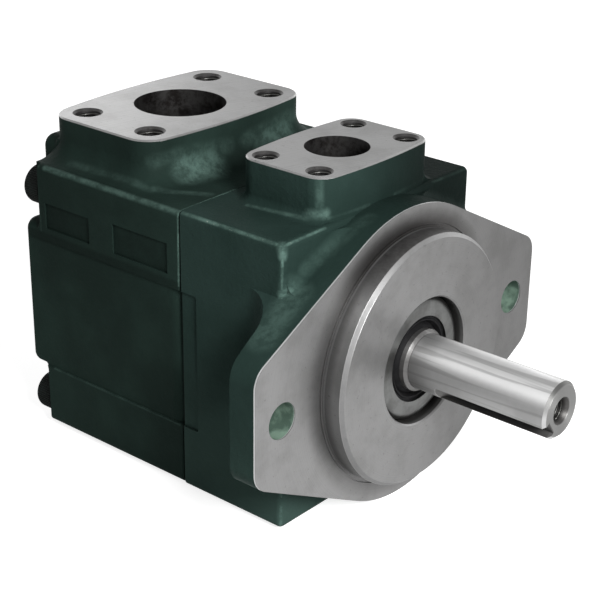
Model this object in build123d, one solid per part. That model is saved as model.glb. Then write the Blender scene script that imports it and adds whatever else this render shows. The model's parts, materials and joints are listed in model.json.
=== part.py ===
from build123d import *
import os
from math import cos, pi, radians, sin

os.makedirs("parts", exist_ok=True)

# A balanced vane pump in millimetres.
# X runs along the shaft and out of the mounting flange, Z is up.
# The origin is the centre of the flange's mounting face.

# Cuts run this far past the faces they start from; places this close count as equal
past = 1.0
tiny = 0.01

# Mounting flange: two bolts, a pilot spigot and sloping lobes
pilot_d = 101.6
pilot_height = 9.5
pilot_chamfer = 1.5
pilot_land = 0.8
pilot_groove_width = 1.2
pilot_groove_depth = 0.5
lobe_end_wall = 14.3
flange_thickness = 12.0
flange_round_r = 60.4
flange_slope = 27.8
flange_bolt_spacing = 146.0
flange_bolt_d = 14.3
bolt_seat_d = 24.0
lobe_corner_r = 9.5
gusset_r = 17.0
skirt_r = 4.0
shoulder_sink = 0.5

# Castings: the front one holds the flange, the rear one the suction chamber
body_half_width = 57.3
front_half_height = 58.8
casting_step = 0.6
front_face_x = -13.8
parting_x = -65.5
screw_seat_x = -145.0
rear_boss_height = 10.5
edge_r = 2.5
parting_edge = 0.8

# Rear boss: a cross between the four screw heads, its upper arm under the suction pad
boss_arm_half_height = 33.0
boss_spine_inset = 3.0
boss_top_z = 66.0
boss_corner_r = 5.0
boss_edge_r = 4.0
boss_foot_r = 3.0

# Shallow fields and the relief beside the parting line, on both sides
side_field_top_z = 26.0
side_field_bottom_z = -32.0
side_field_depth = 0.7
field_round_share = 0.9
plate_field_depth = 0.8
relief_width = 6.0
relief_depth = 3.5
relief_roll_r = 8.0
front_field_width = 8.5
front_field_depth = 1.0

# Two sunk fields on each side of the rear casting: middle X, middle Z, length, height
plate_fields = [(-128.5, 37.0, 26.0, 11.0), (-87.0, 37.5, 30.0, 12.5)]

# Port pads on top
pad_z = 76.2
pad_edge = 0.5
flare_stop = 2.0
flare_overhang = 3.0
pressure_x = -36.5
pressure_bore_d = 25.4
pressure_bolt_x = 26.2
pressure_bolt_y = 52.4
pressure_pad_end = 20.2
pressure_pad_middle = 22.4
pressure_pad_half_length = 33.5
pressure_pad_corner_r = 8.0
pressure_tap_d = 8.8
pressure_tap_depth = 20.0
pressure_flare_r = 4.0
suction_x = -120.1
suction_bore_d = 38.1
suction_bolt_x = 35.7
suction_bolt_y = 69.9
suction_pad_end = 27.6
suction_pad_middle = 31.5
suction_pad_half_length = 46.6
suction_pad_corner_r = 11.0
suction_tap_d = 10.6
suction_tap_depth = 24.0
suction_flare_r = 9.5
tap_mouth = 0.9
drill_point = 0.6
drill_tip_r = 0.05
port_floor_gap = 4.0

# Screws that hold the castings together, from the rear
housing_screw_d = 10.0
housing_screw_head_d = 16.0
housing_screw_head_height = 10.0
housing_screw_length = 100.0
housing_screw_socket = 8.0
housing_screw_side_wall = 8.8
housing_screw_top_wall = 11.3
housing_screw_drop = 1.5
screw_hole_gap = 0.5
screw_tip_room = 5.0
screw_head_gap = 0.6
screw_head_edge = 0.6
screw_tip_edge = 1.0
small_edge = 0.4
thread_gap = 0.05

# Shaft
shaft_d = 22.22
shaft_end_x = 70.3
shaft_end_chamfer = 1.3
shaft_tap_d = 8.8
shaft_tap_mouth_d = 11.0
shaft_tap_depth = 25.0
key_width = 6.35
key_depth = 3.2
key_straight_length = 38.5
key_cutter_r = 20.0
key_angle = 215.6
journal_d = 25.0
journal_start_x = 8.5
journal_run_in = 0.6
shaft_shoulder_d = 30.0
shaft_shoulder_length = 4.0
shaft_middle_d = 24.0
rear_journal_d = 18.0
rear_journal_edge = 1.0
shaft_tap_mouth_slope = 1.7
shaft_rear_setback = 3.0

# Drive spline between the shaft and the rotor
spline_teeth = 14
spline_major_r = 12.0
spline_minor_r = 10.6
spline_foot_half = 1.45
spline_tip_half = 0.95
spline_gap = 0.1
spline_front_lead = 1.0
spline_back_short = 0.5
spline_relief_width = 2.0
spline_relief_drop = 0.2

# Deep-groove ball bearing behind the shaft seal
bearing_bore = 25.0
bearing_od = 52.0
bearing_width = 15.0
bearing_front_x = -12.0
ball_d = 7.938
ball_count = 9
race_gap = 0.04
race_shoulder = 2.7
bearing_edge = 0.8
cage_thickness = 2.0
cage_width = 10.0
cage_gap = 0.15
seat_gap = 0.02

# Retaining rings
housing_ring_thickness = 2.0
housing_ring_groove = 1.5
housing_ring_width = 3.8
shaft_ring_thickness = 1.2
shaft_ring_groove = 0.55
shaft_ring_width = 2.7
ring_groove_play = 0.1
ring_gap_angle = 24.0
ring_lug_r = 2.3
ring_lug_hole_r = 1.0
ring_lug_spread = 6.0

# Shaft seal
seal_od_step = 1.2
seal_width = 9.6
seal_back_x = -3.0
seal_seat_shoulder = 2.5
seal_case_wall = 1.2
seal_case_round = 3.4
seal_case_rise = 4.9
seal_rubber_thickness = 1.4
seal_lip_gap = 0.05
seal_spring_r = 0.7
seal_spring_setback = 5.8
seal_spring_rise = 2.64

# Section of the rubber: distance behind its front, height over the lip's edge
seal_lip_profile = [(0.0, 3.7), (-0.6, 3.4), (-0.6, 2.9), (1.2, 1.9), (-0.9, 0.1), (-0.2, 0.1),
                    (1.0, 1.1), (2.4, 1.2), (3.4, 0.0), (5.7, 0.7), (5.7, 1.5), (2.0, 2.6), (1.4, 3.45)]

# Recess in the pilot face round the shaft
recess_relief = 0.3
recess_step_x = 3.2
recess_edge = 0.6

# Cartridge: cam ring, rotor and ten vanes between two side plates
cam_width = 32.0
cam_front_x = -68.0
cam_outer_r = 41.5
cam_minor_r = 29.0
cam_major_r = 33.0
cam_dwell = 22.0
rotor_r = 28.5
vane_count = 10
vane_thickness = 2.0
vane_height = 11.7
vane_tip_r = 28.3
vane_tip_drop = 0.2
vane_first_angle = 18.0
vane_gap = 0.03
side_gap = 0.03
slot_root_r = 1.6
slot_root_depth = 0.8
front_plate_step = 3.5
front_plate_thickness = 11.0
nose_gap = 0.05
nose_length = 11.0
front_plate_bore_gap = 1.0
rear_plate_thickness = 12.0
rear_nose_r = 25.0
rear_nose_length = 10.0
rear_window_inner_r = 31.5
rear_window_wall = 2.5
kidney_inner_r = 27.5
kidney_outer_r = 33.0
kidney_half_angle = 16.0
suction_kidney_angle = 45.0
pressure_kidney_angle = 135.0
kidney_depth = 4.0
under_vane_inner_r = 14.8
under_vane_outer_r = 17.6
under_vane_depth = 1.8
bushing_wall = 2.0
bushing_gap = 0.03
bushing_length = 18.0
bushing_inset = 1.0

# Cartridge screws and dowels
cartridge_fixing_wall = 5.5
cartridge_screw_angle = -11.0
cartridge_dowel_angle = 11.0
cartridge_screw_d = 5.0
cartridge_screw_head_d = 8.5
cartridge_screw_head_height = 5.0
cartridge_screw_socket = 4.0
cartridge_screw_grip = 7.0
cartridge_screw_sink = 0.5
cartridge_screw_socket_depth = 2.5
blind_room = 0.5
dowel_d = 5.0
dowel_engagement = 4.0
dowel_gap = 0.02
fixing_gap = 0.25

# Chambers in the castings
casing_side_wall = 9.8
suction_chamber_wall = 11.5
rear_hub_wall = 6.0
rear_nose_room = 2.0
shaft_end_room = 4.0
shaft_end_gap = 3.0
pressure_chamber_r = 42.0
pressure_chamber_front_x = -34.0
bearing_boss_wall = 5.5
bearing_boss_gap = 5.0
plate_bore_gap = 0.05

# O-rings
body_ring_wall = 3.0
body_ring_section = 2.62
body_ring_squeeze = 0.85
plate_ring_section = 2.6
plate_ring_depth = 2.2
ring_squeeze_gap = 0.02

# Places that follow from the sizes above
pilot_r = pilot_d / 2
shaft_r = shaft_d / 2
journal_r = journal_d / 2
rear_journal_r = rear_journal_d / 2
flange_half = flange_bolt_spacing / 2 + lobe_end_wall
back_x = screw_seat_x - rear_boss_height
gusset_x = front_face_x - gusset_r
housing_screw_y = body_half_width - housing_screw_side_wall
housing_screw_z = front_half_height - housing_screw_top_wall
boss_spine_half_width = housing_screw_y - boss_spine_inset
rear_half_height = front_half_height - casting_step
suction_bore_r = body_half_width - casing_side_wall
front_plate_r = suction_bore_r - front_plate_step
cartridge_fixing_r = cam_outer_r - cartridge_fixing_wall
rear_window_outer_r = cam_outer_r - rear_window_wall
body_ring_r = suction_bore_r + body_ring_wall
bearing_back_x = bearing_front_x - bearing_width
ball_pitch_r = (bearing_bore + bearing_od) / 4
bearing_middle_x = bearing_front_x - bearing_width / 2
seal_front_x = seal_back_x + seal_width
seal_od = bearing_od - seal_od_step
recess_mouth_r = seal_od / 2 + recess_relief
cam_back_x = cam_front_x - cam_width
front_plate_x = cam_front_x + front_plate_thickness
nose_front_x = front_plate_x + nose_length
boss_end_x = front_plate_x + bearing_boss_gap
nose_r = bearing_od / 2 - nose_gap
rear_plate_x = cam_back_x - rear_plate_thickness
rear_nose_x = rear_plate_x - rear_nose_length
rear_hub_r = rear_nose_r + rear_hub_wall
chamber_end_x = back_x + suction_chamber_wall
bearing_boss_r = bearing_od / 2 + bearing_boss_wall
vane_step = 360 / vane_count
spline_back_x = cam_back_x + spline_back_short
shaft_rear_x = rear_nose_x + shaft_rear_setback


def along_x(outline, x_from, x_to):
    """Extrude an outline drawn in Y and Z from one X station to a further one."""
    return extrude(Plane.YZ.offset(x_from) * outline, x_to - x_from)


def disc(radius, x_from, x_to):
    return along_x(Circle(radius), x_from, x_to)


def ring(outer_r, inner_r, x_from, x_to):
    return along_x(Circle(outer_r) - Circle(inner_r), x_from, x_to)


def turned(outline):
    """Turn a closed outline, drawn as X and radius, round the shaft axis."""
    return revolve(make_face(outline.edges()), Axis.X)


def hole_x(y, z, radius, x_from, x_to):
    return along_x(Pos(y, z) * Circle(radius), x_from, x_to)


def hole_z(x, y, radius, z_from, z_to):
    return Pos(x, y, (z_from + z_to) / 2) * Cylinder(radius, z_to - z_from)


def tapped_hole_z(x, y, diameter, depth, z_top):
    """A blind hole down from a pad, with its drill point and a chamfered mouth."""
    radius = diameter / 2
    point = radius * drill_point
    mouth = radius + tap_mouth
    shape = hole_z(x, y, radius, z_top - depth, z_top)
    shape += Pos(x, y, z_top - depth - point / 2) * Cone(drill_tip_r, radius, point)
    shape += Pos(x, y, z_top - tap_mouth / 2) * Cone(radius, mouth, tap_mouth)
    return shape


def on_circle(radius, angle):
    """The Y and Z of a point at an angle from +Y towards +Z."""
    return radius * cos(radians(angle)), radius * sin(radians(angle))


def arc_sector(inner_r, outer_r, middle_angle, half_angle):
    """The part of a ring between two angles, as an outline in Y and Z."""
    first = middle_angle - half_angle
    last = middle_angle + half_angle
    outer = ThreePointArc(*(on_circle(outer_r, a) for a in (first, middle_angle, last)))
    inner = ThreePointArc(*(on_circle(inner_r, a) for a in (first, middle_angle, last)))
    sides = [Line(outer @ 1, inner @ 1), Line(inner @ 0, outer @ 0)]
    return make_face([outer, sides[0], inner, sides[1]])


def o_ring(bottom_r, top_r, x_middle):
    """A round ring that fills a groove between two radii."""
    section_r = (top_r - bottom_r) / 2 - ring_squeeze_gap
    section = Pos(x_middle, (top_r + bottom_r) / 2) * Circle(section_r)
    return revolve(section, Axis.X)


def hex_socket(y, z, across_flats, x_from, x_to):
    outline = RegularPolygon(across_flats / 2, 6, major_radius=False)
    return along_x(Pos(y, z) * outline, x_from, x_to)


# Mounting flange


def flange_outline():
    """A disc and two lobes with flat ends, joined by slopes that touch the disc."""
    slope = radians(flange_slope)
    touch_y = flange_round_r * sin(slope)
    touch_z = flange_round_r * cos(slope)
    lobe_z = (flange_round_r - flange_half * sin(slope)) / cos(slope)
    top = ThreePointArc((touch_y, touch_z), (0, flange_round_r), (-touch_y, touch_z))
    left = Polyline((-touch_y, touch_z), (-flange_half, lobe_z), (-flange_half, -lobe_z),
                    (-touch_y, -touch_z))
    bottom = ThreePointArc((-touch_y, -touch_z), (0, -flange_round_r), (touch_y, -touch_z))
    right = Polyline((touch_y, -touch_z), (flange_half, -lobe_z), (flange_half, lobe_z),
                     (touch_y, touch_z))
    outline = make_face((top + left + bottom + right).edges())
    lobes = [v for v in outline.vertices() if abs(abs(v.X) - flange_half) < tiny]
    return fillet(lobes, lobe_corner_r)


def flange_plan(side):
    """The flange from above on one side: thin at the lobe's end, with a hollow gusset."""
    reach = side * (flange_half + past)
    arc_y = body_half_width + gusset_r
    middle = gusset_r * sin(radians(45))
    wall_y = side * body_half_width
    inner_y = side * (body_half_width - gusset_r / 2)
    front = Polyline((front_face_x, 0), (0, 0), (0, reach), (-flange_thickness, reach),
                     (front_face_x, side * arc_y))
    gusset = ThreePointArc((front_face_x, side * arc_y), (gusset_x + middle, side * (arc_y - middle)),
                           (gusset_x, wall_y))
    inside = Polyline((gusset_x, wall_y), (gusset_x, inner_y), (front_face_x, inner_y), (front_face_x, 0))
    return make_face((front + gusset + inside).edges())


def flange_body():
    blank = along_x(flange_outline(), gusset_x, 0)
    plans = flange_plan(1) + flange_plan(-1)
    half = flange_round_r + past
    shoulder = turned(Polyline((front_face_x, 0), (front_face_x, flange_round_r),
                               (front_face_x - skirt_r, front_half_height - shoulder_sink),
                               (front_face_x - skirt_r, 0), close=True))
    return (blank & extrude(Pos(0, 0, -half) * plans, 2 * half)) + shoulder


def flange_skirt():
    """The hollow corner where the flange's edge runs into the front face."""
    wall = along_x(Rectangle(3 * flange_half, 3 * flange_half), front_face_x - skirt_r, front_face_x)
    post = along_x(flange_outline(), front_face_x, 0)
    joined = wall + post
    foot = [e for e in joined.edges()
            if abs(e.center().X - front_face_x) < tiny and abs(e.center().Y) < flange_half + past
            and abs(e.center().Z) < flange_half + past]
    joined = fillet(foot, skirt_r)
    inset = Rectangle(2 * (body_half_width - edge_r), 2 * (front_half_height - edge_r))
    return joined & along_x(inset, front_face_x - skirt_r, 0)


# Port pads


def pad_outline(end_half, middle_half, half_length, corner_r):
    """A pad with bowed long sides and round corners."""
    right = ThreePointArc((end_half, -half_length), (middle_half, 0), (end_half, half_length))
    far = Line((end_half, half_length), (-end_half, half_length))
    left = ThreePointArc((-end_half, half_length), (-middle_half, 0), (-end_half, -half_length))
    near = Line((-end_half, -half_length), (end_half, -half_length))
    outline = make_face([right, far, left, near])
    return fillet(outline.vertices(), corner_r)


def pad_flare(outline, x, top_z, flare_r, clip):
    """The neck under a pad, spreading with a hollow round into the casting's top."""
    plate = Pos(x, 0, top_z - flare_r / 2) * Box(4 * body_half_width, 4 * body_half_width, flare_r)
    neck = extrude(Pos(x, 0, top_z) * outline, pad_z - top_z)
    joined = plate + neck
    foot = [e for e in joined.edges()
            if abs(e.center().Z - top_z) < tiny and abs(e.center().Y) < 1.5 * body_half_width
            and abs(e.center().X - x) < 1.5 * body_half_width]
    return fillet(foot, flare_r) & clip


def pad_holes(x, bolt_x, bolt_y, tap_d, tap_depth):
    holes = Part()
    for side_x in (-1, 1):
        for side_y in (-1, 1):
            place_x = x + side_x * bolt_x / 2
            holes += tapped_hole_z(place_x, side_y * bolt_y / 2, tap_d, tap_depth, pad_z)
    return holes


# Front casting


def front_block():
    block = along_x(Rectangle(2 * body_half_width, 2 * front_half_height), parting_x, front_face_x)
    outer = [e for e in block.edges() if e.center().X > parting_x + tiny]
    block = fillet(outer, edge_r)
    parting = block.faces().sort_by(Axis.X)[0]
    return chamfer(parting.edges(), parting_edge)


def front_cavity():
    """Everything that is bored round the shaft axis, from the pilot face to the parting."""
    mouth_x = pilot_height
    seal_r = seal_od / 2
    shoulder_r = seal_r - seal_seat_shoulder
    bore_r = bearing_od / 2
    outline = Polyline(
        (mouth_x + past, 0), (mouth_x + past, recess_mouth_r + recess_edge),
        (mouth_x, recess_mouth_r + recess_edge), (mouth_x - recess_edge, recess_mouth_r),
        (recess_step_x, recess_mouth_r), (recess_step_x - recess_relief, seal_r), (seal_back_x, seal_r),
        (seal_back_x, shoulder_r), (bearing_front_x, shoulder_r), (bearing_front_x, bore_r),
        (boss_end_x, bore_r), (boss_end_x, 0), close=True)
    cavity = turned(outline)
    groove_x = bearing_back_x - housing_ring_thickness - ring_groove_play
    cavity += ring(bore_r + housing_ring_groove, bore_r - past, groove_x, bearing_back_x)
    cavity += ring(pressure_chamber_r, bearing_boss_r, front_plate_x, pressure_chamber_front_x)
    cavity += disc(pressure_chamber_r, front_plate_x, boss_end_x)
    cavity += disc(front_plate_r + plate_bore_gap, parting_x - past, front_plate_x)
    return cavity


def front_housing():
    outline = pad_outline(pressure_pad_end, pressure_pad_middle, pressure_pad_half_length,
                          pressure_pad_corner_r)
    clip_x = front_face_x - edge_r - parting_x - parting_edge
    clip_middle = parting_x + parting_edge + clip_x / 2
    clip = Pos(clip_middle, 0, pad_z / 2) * Box(clip_x, 2 * (body_half_width - edge_r), pad_z)
    neck = extrude(Pos(pressure_x, 0, front_half_height / 2) * outline, pad_z - front_half_height / 2)
    neck = chamfer(neck.faces().sort_by(Axis.Z)[-1].edges(), pad_edge)
    flare = pad_flare(outline, pressure_x, front_half_height, pressure_flare_r, clip)
    flare_top_z = pad_z - flare_stop
    flare &= Pos(clip_middle, 0, flare_top_z / 2) * Box(clip_x, 4 * body_half_width, flare_top_z)

    spigot = disc(pilot_r, -past, pilot_height)
    spigot = chamfer(spigot.faces().sort_by(Axis.X)[-1].edges(), pilot_chamfer)
    body = front_block() + neck + flare + flange_skirt() + flange_body() + spigot
    groove_r = pilot_r + pilot_land
    body -= ring(groove_r + pilot_groove_width, groove_r, -pilot_groove_depth, past)
    body -= front_cavity()

    floor_z = bearing_boss_r + port_floor_gap
    body -= hole_z(pressure_x, 0, pressure_bore_d / 2, floor_z, pad_z + past)
    body -= pad_holes(pressure_x, pressure_bolt_x, pressure_bolt_y, pressure_tap_d, pressure_tap_depth)
    for side_y in (-1, 1):
        bolt_y = side_y * flange_bolt_spacing / 2
        body -= hole_x(bolt_y, 0, flange_bolt_d / 2, gusset_x - past, past)
        body -= hole_x(bolt_y, 0, bolt_seat_d / 2, gusset_x - past, -flange_thickness)
        body -= side_field(side_y, parting_x - past, parting_x + front_field_width, front_field_depth)
    for y, z in housing_screw_places():
        end_x = screw_seat_x + housing_screw_length + screw_tip_room
        body -= hole_x(y, z, housing_screw_d / 2 + thread_gap, parting_x - past, end_x)
    return body


def side_field(side_y, x_from, x_to, depth):
    """A shallow field milled into one side between the two field heights."""
    height = side_field_top_z - side_field_bottom_z
    field = Box(x_to - x_from, 2 * depth, height)
    field = fillet(field.edges().filter_by(Axis.Y), depth * field_round_share)
    middle_z = (side_field_top_z + side_field_bottom_z) / 2
    return Pos((x_from + x_to) / 2, side_y * body_half_width, middle_z) * field


# Rear casting


def rear_block():
    block = along_x(Rectangle(2 * body_half_width, 2 * rear_half_height), screw_seat_x, parting_x)
    long_edges = block.edges().filter_by(Axis.X)
    block = fillet(long_edges, edge_r)
    block = fillet(block.faces().sort_by(Axis.X)[0].edges(), edge_r / 2)
    return chamfer(block.faces().sort_by(Axis.X)[-1].edges(), parting_edge)


def rear_boss():
    """The raised cross on the back, which leaves four corners for the screw heads."""
    arm = boss_arm_half_height
    spine = boss_spine_half_width
    side = body_half_width
    right = [(spine, boss_top_z), (spine, arm), (side, arm), (side, -arm), (spine, -arm),
             (spine, -rear_half_height)]
    left = [(-y, z) for y, z in reversed(right)]
    cross = make_face(Polyline(*right, *left, close=True).edges())
    cross = fillet(cross.vertices(), boss_corner_r)
    wall = along_x(Rectangle(4 * side, 4 * side), screw_seat_x, screw_seat_x + boss_foot_r)
    joined = wall + along_x(cross, back_x, screw_seat_x)
    foot = [e for e in joined.edges()
            if abs(e.center().X - screw_seat_x) < tiny and abs(e.center().Y) < 1.5 * side
            and abs(e.center().Z) < 1.5 * side]
    joined = fillet(foot, boss_foot_r)
    joined = fillet(joined.faces().sort_by(Axis.X)[0].edges(), boss_edge_r)
    section = RectangleRounded(2 * side, 2 * rear_half_height, edge_r)
    section += Pos(0, boss_top_z / 2) * Rectangle(2 * spine, boss_top_z)
    return joined & along_x(section, back_x, screw_seat_x + boss_foot_r)


def rear_spine():
    """The rounded block that carries the suction pad down to the boss."""
    width = 2 * boss_spine_half_width
    height = boss_top_z - rear_half_height / 2
    middle_z = (boss_top_z + rear_half_height / 2) / 2
    block = Pos((screw_seat_x + suction_x) / 2, 0, middle_z)
    block *= Box(suction_x - screw_seat_x, width, height)
    upper = [e for e in block.edges().filter_by(Axis.X) if e.center().Z > middle_z]
    return fillet(upper, boss_corner_r)


def rear_cavity():
    cavity = disc(suction_bore_r, rear_plate_x, parting_x + past)
    cavity += ring(suction_bore_r, rear_hub_r, chamber_end_x, rear_plate_x)
    hub_end_x = rear_nose_x - rear_nose_room
    cavity += disc(rear_nose_r + nose_gap, hub_end_x, rear_plate_x)
    cavity += disc(rear_journal_r + shaft_end_gap, hub_end_x - shaft_end_room, hub_end_x)
    half = body_ring_section / 2
    groove_x = parting_x - body_ring_squeeze * body_ring_section
    cavity += ring(body_ring_r + half, body_ring_r - half, groove_x, parting_x + past)
    return cavity


def rear_housing():
    outline = pad_outline(suction_pad_end, suction_pad_middle, suction_pad_half_length,
                          suction_pad_corner_r)
    clip_from = screw_seat_x - flare_overhang
    clip_to = parting_x - parting_edge
    clip = Pos((clip_from + clip_to) / 2, 0, pad_z / 2)
    clip *= Box(clip_to - clip_from, 2 * (body_half_width - edge_r), pad_z)
    neck = extrude(Pos(suction_x, 0, rear_half_height / 2) * outline, pad_z - rear_half_height / 2)
    neck = chamfer(neck.faces().sort_by(Axis.Z)[-1].edges(), pad_edge)
    flare = pad_flare(outline, suction_x, rear_half_height, suction_flare_r, clip)
    flare_top_z = pad_z - flare_stop
    flare &= Pos(suction_x, 0, flare_top_z / 2) * Box(4 * body_half_width, 4 * body_half_width, flare_top_z)
    body = rear_block() + rear_boss() + rear_spine() + neck + flare
    body -= rear_cavity()
    body -= hole_z(suction_x, 0, suction_bore_d / 2, rear_hub_r + port_floor_gap, pad_z + past)
    body -= pad_holes(suction_x, suction_bolt_x, suction_bolt_y, suction_tap_d, suction_tap_depth)
    for y, z in housing_screw_places():
        body -= hole_x(y, z, housing_screw_d / 2 + screw_hole_gap, screw_seat_x - past, parting_x + past)
        body -= hole_x(y, z, housing_screw_head_d / 2 + screw_head_gap, back_x - past, screw_seat_x)
    for side_y in (-1, 1):
        body -= side_field(side_y, back_x - past, parting_x + past, side_field_depth)
        body -= parting_relief(side_y)
        for plate_x, plate_z, length, height in plate_fields:
            field = Box(length, 2 * plate_field_depth, height)
            body -= Pos(plate_x, side_y * body_half_width, plate_z) * field
    return body


def parting_relief(side_y):
    """The upright relief behind the parting line, where the casting's edge rolls inwards."""
    height = side_field_top_z - side_field_bottom_z
    relief = Box(2 * relief_width, 2 * relief_depth, height)
    roll_y = -side_y * (relief_roll_r + side_field_depth)
    relief -= Pos(-relief_width, roll_y, 0) * Cylinder(relief_roll_r, height + past)
    middle_z = (side_field_top_z + side_field_bottom_z) / 2
    return Pos(parting_x, side_y * body_half_width, middle_z) * relief


# Fasteners


def housing_screw_places():
    """Y and Z of the four screws, centred a little below the shaft."""
    return [(side_y * housing_screw_y, side_z * housing_screw_z - housing_screw_drop)
            for side_y in (-1, 1) for side_z in (-1, 1)]


def housing_screws():
    screws = []
    head_r = housing_screw_head_d / 2
    top_x = screw_seat_x - housing_screw_head_height
    tip_x = screw_seat_x + housing_screw_length
    for y, z in housing_screw_places():
        head = hole_x(y, z, head_r, top_x, screw_seat_x)
        head = chamfer(head.faces().sort_by(Axis.X)[0].edges(), screw_head_edge)
        shank = hole_x(y, z, housing_screw_d / 2, screw_seat_x, tip_x)
        shank = chamfer(shank.faces().sort_by(Axis.X)[-1].edges(), screw_tip_edge)
        screw = head + shank
        socket_x = top_x + housing_screw_head_height / 2
        screw -= hex_socket(y, z, housing_screw_socket, top_x - past, socket_x)
        screws.append(screw)
    return screws


def cartridge_fixings(angle):
    """The two opposite places on the cartridge at an angle."""
    return [on_circle(cartridge_fixing_r, angle), on_circle(cartridge_fixing_r, angle + 180)]


def cartridge_screws():
    screws = []
    head_back_x = rear_plate_x + cartridge_screw_sink
    head_front_x = head_back_x + cartridge_screw_head_height
    for y, z in cartridge_fixings(cartridge_screw_angle):
        screw = hole_x(y, z, cartridge_screw_head_d / 2, head_back_x, head_front_x)
        screw = chamfer(screw.faces().sort_by(Axis.X)[0].edges(), small_edge)
        screw += hole_x(y, z, cartridge_screw_d / 2, head_front_x, cam_front_x + cartridge_screw_grip)
        socket_x = head_back_x + cartridge_screw_socket_depth
        screw -= hex_socket(y, z, cartridge_screw_socket, head_back_x - past, socket_x)
        screws.append(screw)
    return screws


def dowel_pins():
    pins = []
    for y, z in cartridge_fixings(cartridge_dowel_angle):
        pin = hole_x(y, z, dowel_d / 2, cam_back_x - dowel_engagement, cam_front_x + dowel_engagement)
        ends = pin.faces().sort_by(Axis.X)
        pins.append(chamfer(ends[0].edges() + ends[-1].edges(), small_edge))
    return pins


# Shaft and what turns with it


def spline_outline(gap):
    """A toothed outline in Y and Z, widened all round by a gap."""
    teeth = Circle(spline_minor_r + gap)
    tip = spline_major_r + gap
    tooth = make_face(Polyline((0, -spline_foot_half - gap), (spline_minor_r, -spline_foot_half - gap),
                               (tip + past, -spline_tip_half - gap), (tip + past, spline_tip_half + gap),
                               (spline_minor_r, spline_foot_half + gap), (0, spline_foot_half + gap),
                               close=True).edges())
    for count in range(spline_teeth):
        teeth += Rot(0, 0, count * 360 / spline_teeth) * tooth
    return teeth & Circle(tip)


def keyway():
    """A slot milled in from the shaft's end, with the round run-out of its cutter."""
    floor = shaft_r - key_depth
    start_x = shaft_end_x - key_straight_length
    height = key_depth + 3 * past
    straight = Pos((start_x + shaft_end_x + past) / 2, 0, floor + height / 2)
    straight *= Box(shaft_end_x + past - start_x, key_width, height)
    cutter = Pos(start_x, 0, floor + key_cutter_r) * Rot(90, 0, 0) * Cylinder(key_cutter_r, key_width)
    return Rot(key_angle - 90, 0, 0) * (straight + cutter)


def shaft():
    relief_x = cam_front_x + spline_front_lead
    relief_r = spline_minor_r - spline_relief_drop
    core_r = spline_minor_r - spline_relief_drop / 2
    steps = [
        (shaft_end_x, 0), (shaft_end_x, shaft_r - shaft_end_chamfer),
        (shaft_end_x - shaft_end_chamfer, shaft_r), (journal_start_x + journal_run_in, shaft_r),
        (journal_start_x, journal_r - small_edge), (journal_start_x - small_edge, journal_r),
        (bearing_back_x, journal_r), (bearing_back_x, shaft_shoulder_d / 2),
        (bearing_back_x - shaft_shoulder_length, shaft_shoulder_d / 2),
        (bearing_back_x - shaft_shoulder_length, shaft_middle_d / 2),
        (relief_x + spline_relief_drop + spline_relief_width, shaft_middle_d / 2),
        (relief_x + spline_relief_width, relief_r), (relief_x, relief_r), (relief_x, core_r),
        (spline_back_x, core_r), (spline_back_x, rear_journal_r),
        (shaft_rear_x + rear_journal_edge, rear_journal_r),
        (shaft_rear_x, rear_journal_r - rear_journal_edge), (shaft_rear_x, 0),
    ]
    body = turned(Polyline(*steps, close=True))
    body += along_x(spline_outline(0), spline_back_x, relief_x)
    body -= ring(journal_r + past, journal_r - shaft_ring_groove, bearing_front_x,
                 bearing_front_x + shaft_ring_thickness + ring_groove_play)
    body -= keyway()
    mouth_depth = (shaft_tap_mouth_d - shaft_tap_d) / 2 * shaft_tap_mouth_slope
    hole = disc(shaft_tap_d / 2, shaft_end_x - shaft_tap_depth, shaft_end_x + past)
    mouth_r = shaft_tap_mouth_d / 2
    hole += turned(Polyline((shaft_end_x - mouth_depth, 0), (shaft_end_x - mouth_depth, shaft_tap_d / 2),
                            (shaft_end_x, mouth_r), (shaft_end_x + past, mouth_r),
                            (shaft_end_x + past, 0), close=True))
    return body - hole


def rotor():
    body = disc(rotor_r, cam_back_x + side_gap, cam_front_x - side_gap)
    body -= along_x(spline_outline(spline_gap), cam_back_x, cam_front_x)
    slot_bottom_r = vane_tip_r - vane_height - slot_root_depth
    slot = Pos((slot_bottom_r + rotor_r + past) / 2, 0)
    slot *= Rectangle(rotor_r + past - slot_bottom_r, vane_thickness + 2 * vane_gap)
    slot += Pos(slot_bottom_r, 0) * Circle(slot_root_r)
    for count in range(vane_count):
        turned_slot = Rot(0, 0, vane_first_angle + count * vane_step) * slot
        body -= along_x(turned_slot, cam_back_x, cam_front_x)
    return body


def vane(count):
    """One blade with a rounded tip, drawn in at rest to just inside the rotor's rim."""
    half = vane_thickness / 2
    foot_r = vane_tip_r - vane_height
    edges = (
        Polyline((vane_tip_r - vane_tip_drop, half), (foot_r, half), (foot_r, -half),
                 (vane_tip_r - vane_tip_drop, -half))
        + ThreePointArc((vane_tip_r - vane_tip_drop, -half), (vane_tip_r, 0),
                        (vane_tip_r - vane_tip_drop, half))
    )
    blade = Rot(0, 0, vane_first_angle + count * vane_step) * make_face(edges.edges())
    return along_x(blade, cam_back_x + side_gap, cam_front_x - side_gap)


# Cartridge


def cam_radius(angle):
    """The cam's radius at an angle: dwell, smooth rise, dwell, twice round."""
    folded = angle % 180
    if folded > 90:
        folded = 180 - folded
    share = (folded - cam_dwell) / (90 - 2 * cam_dwell)
    share = min(max(share, 0.0), 1.0)
    rise = share - sin(2 * pi * share) / (2 * pi)
    return cam_minor_r + (cam_major_r - cam_minor_r) * rise


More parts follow.
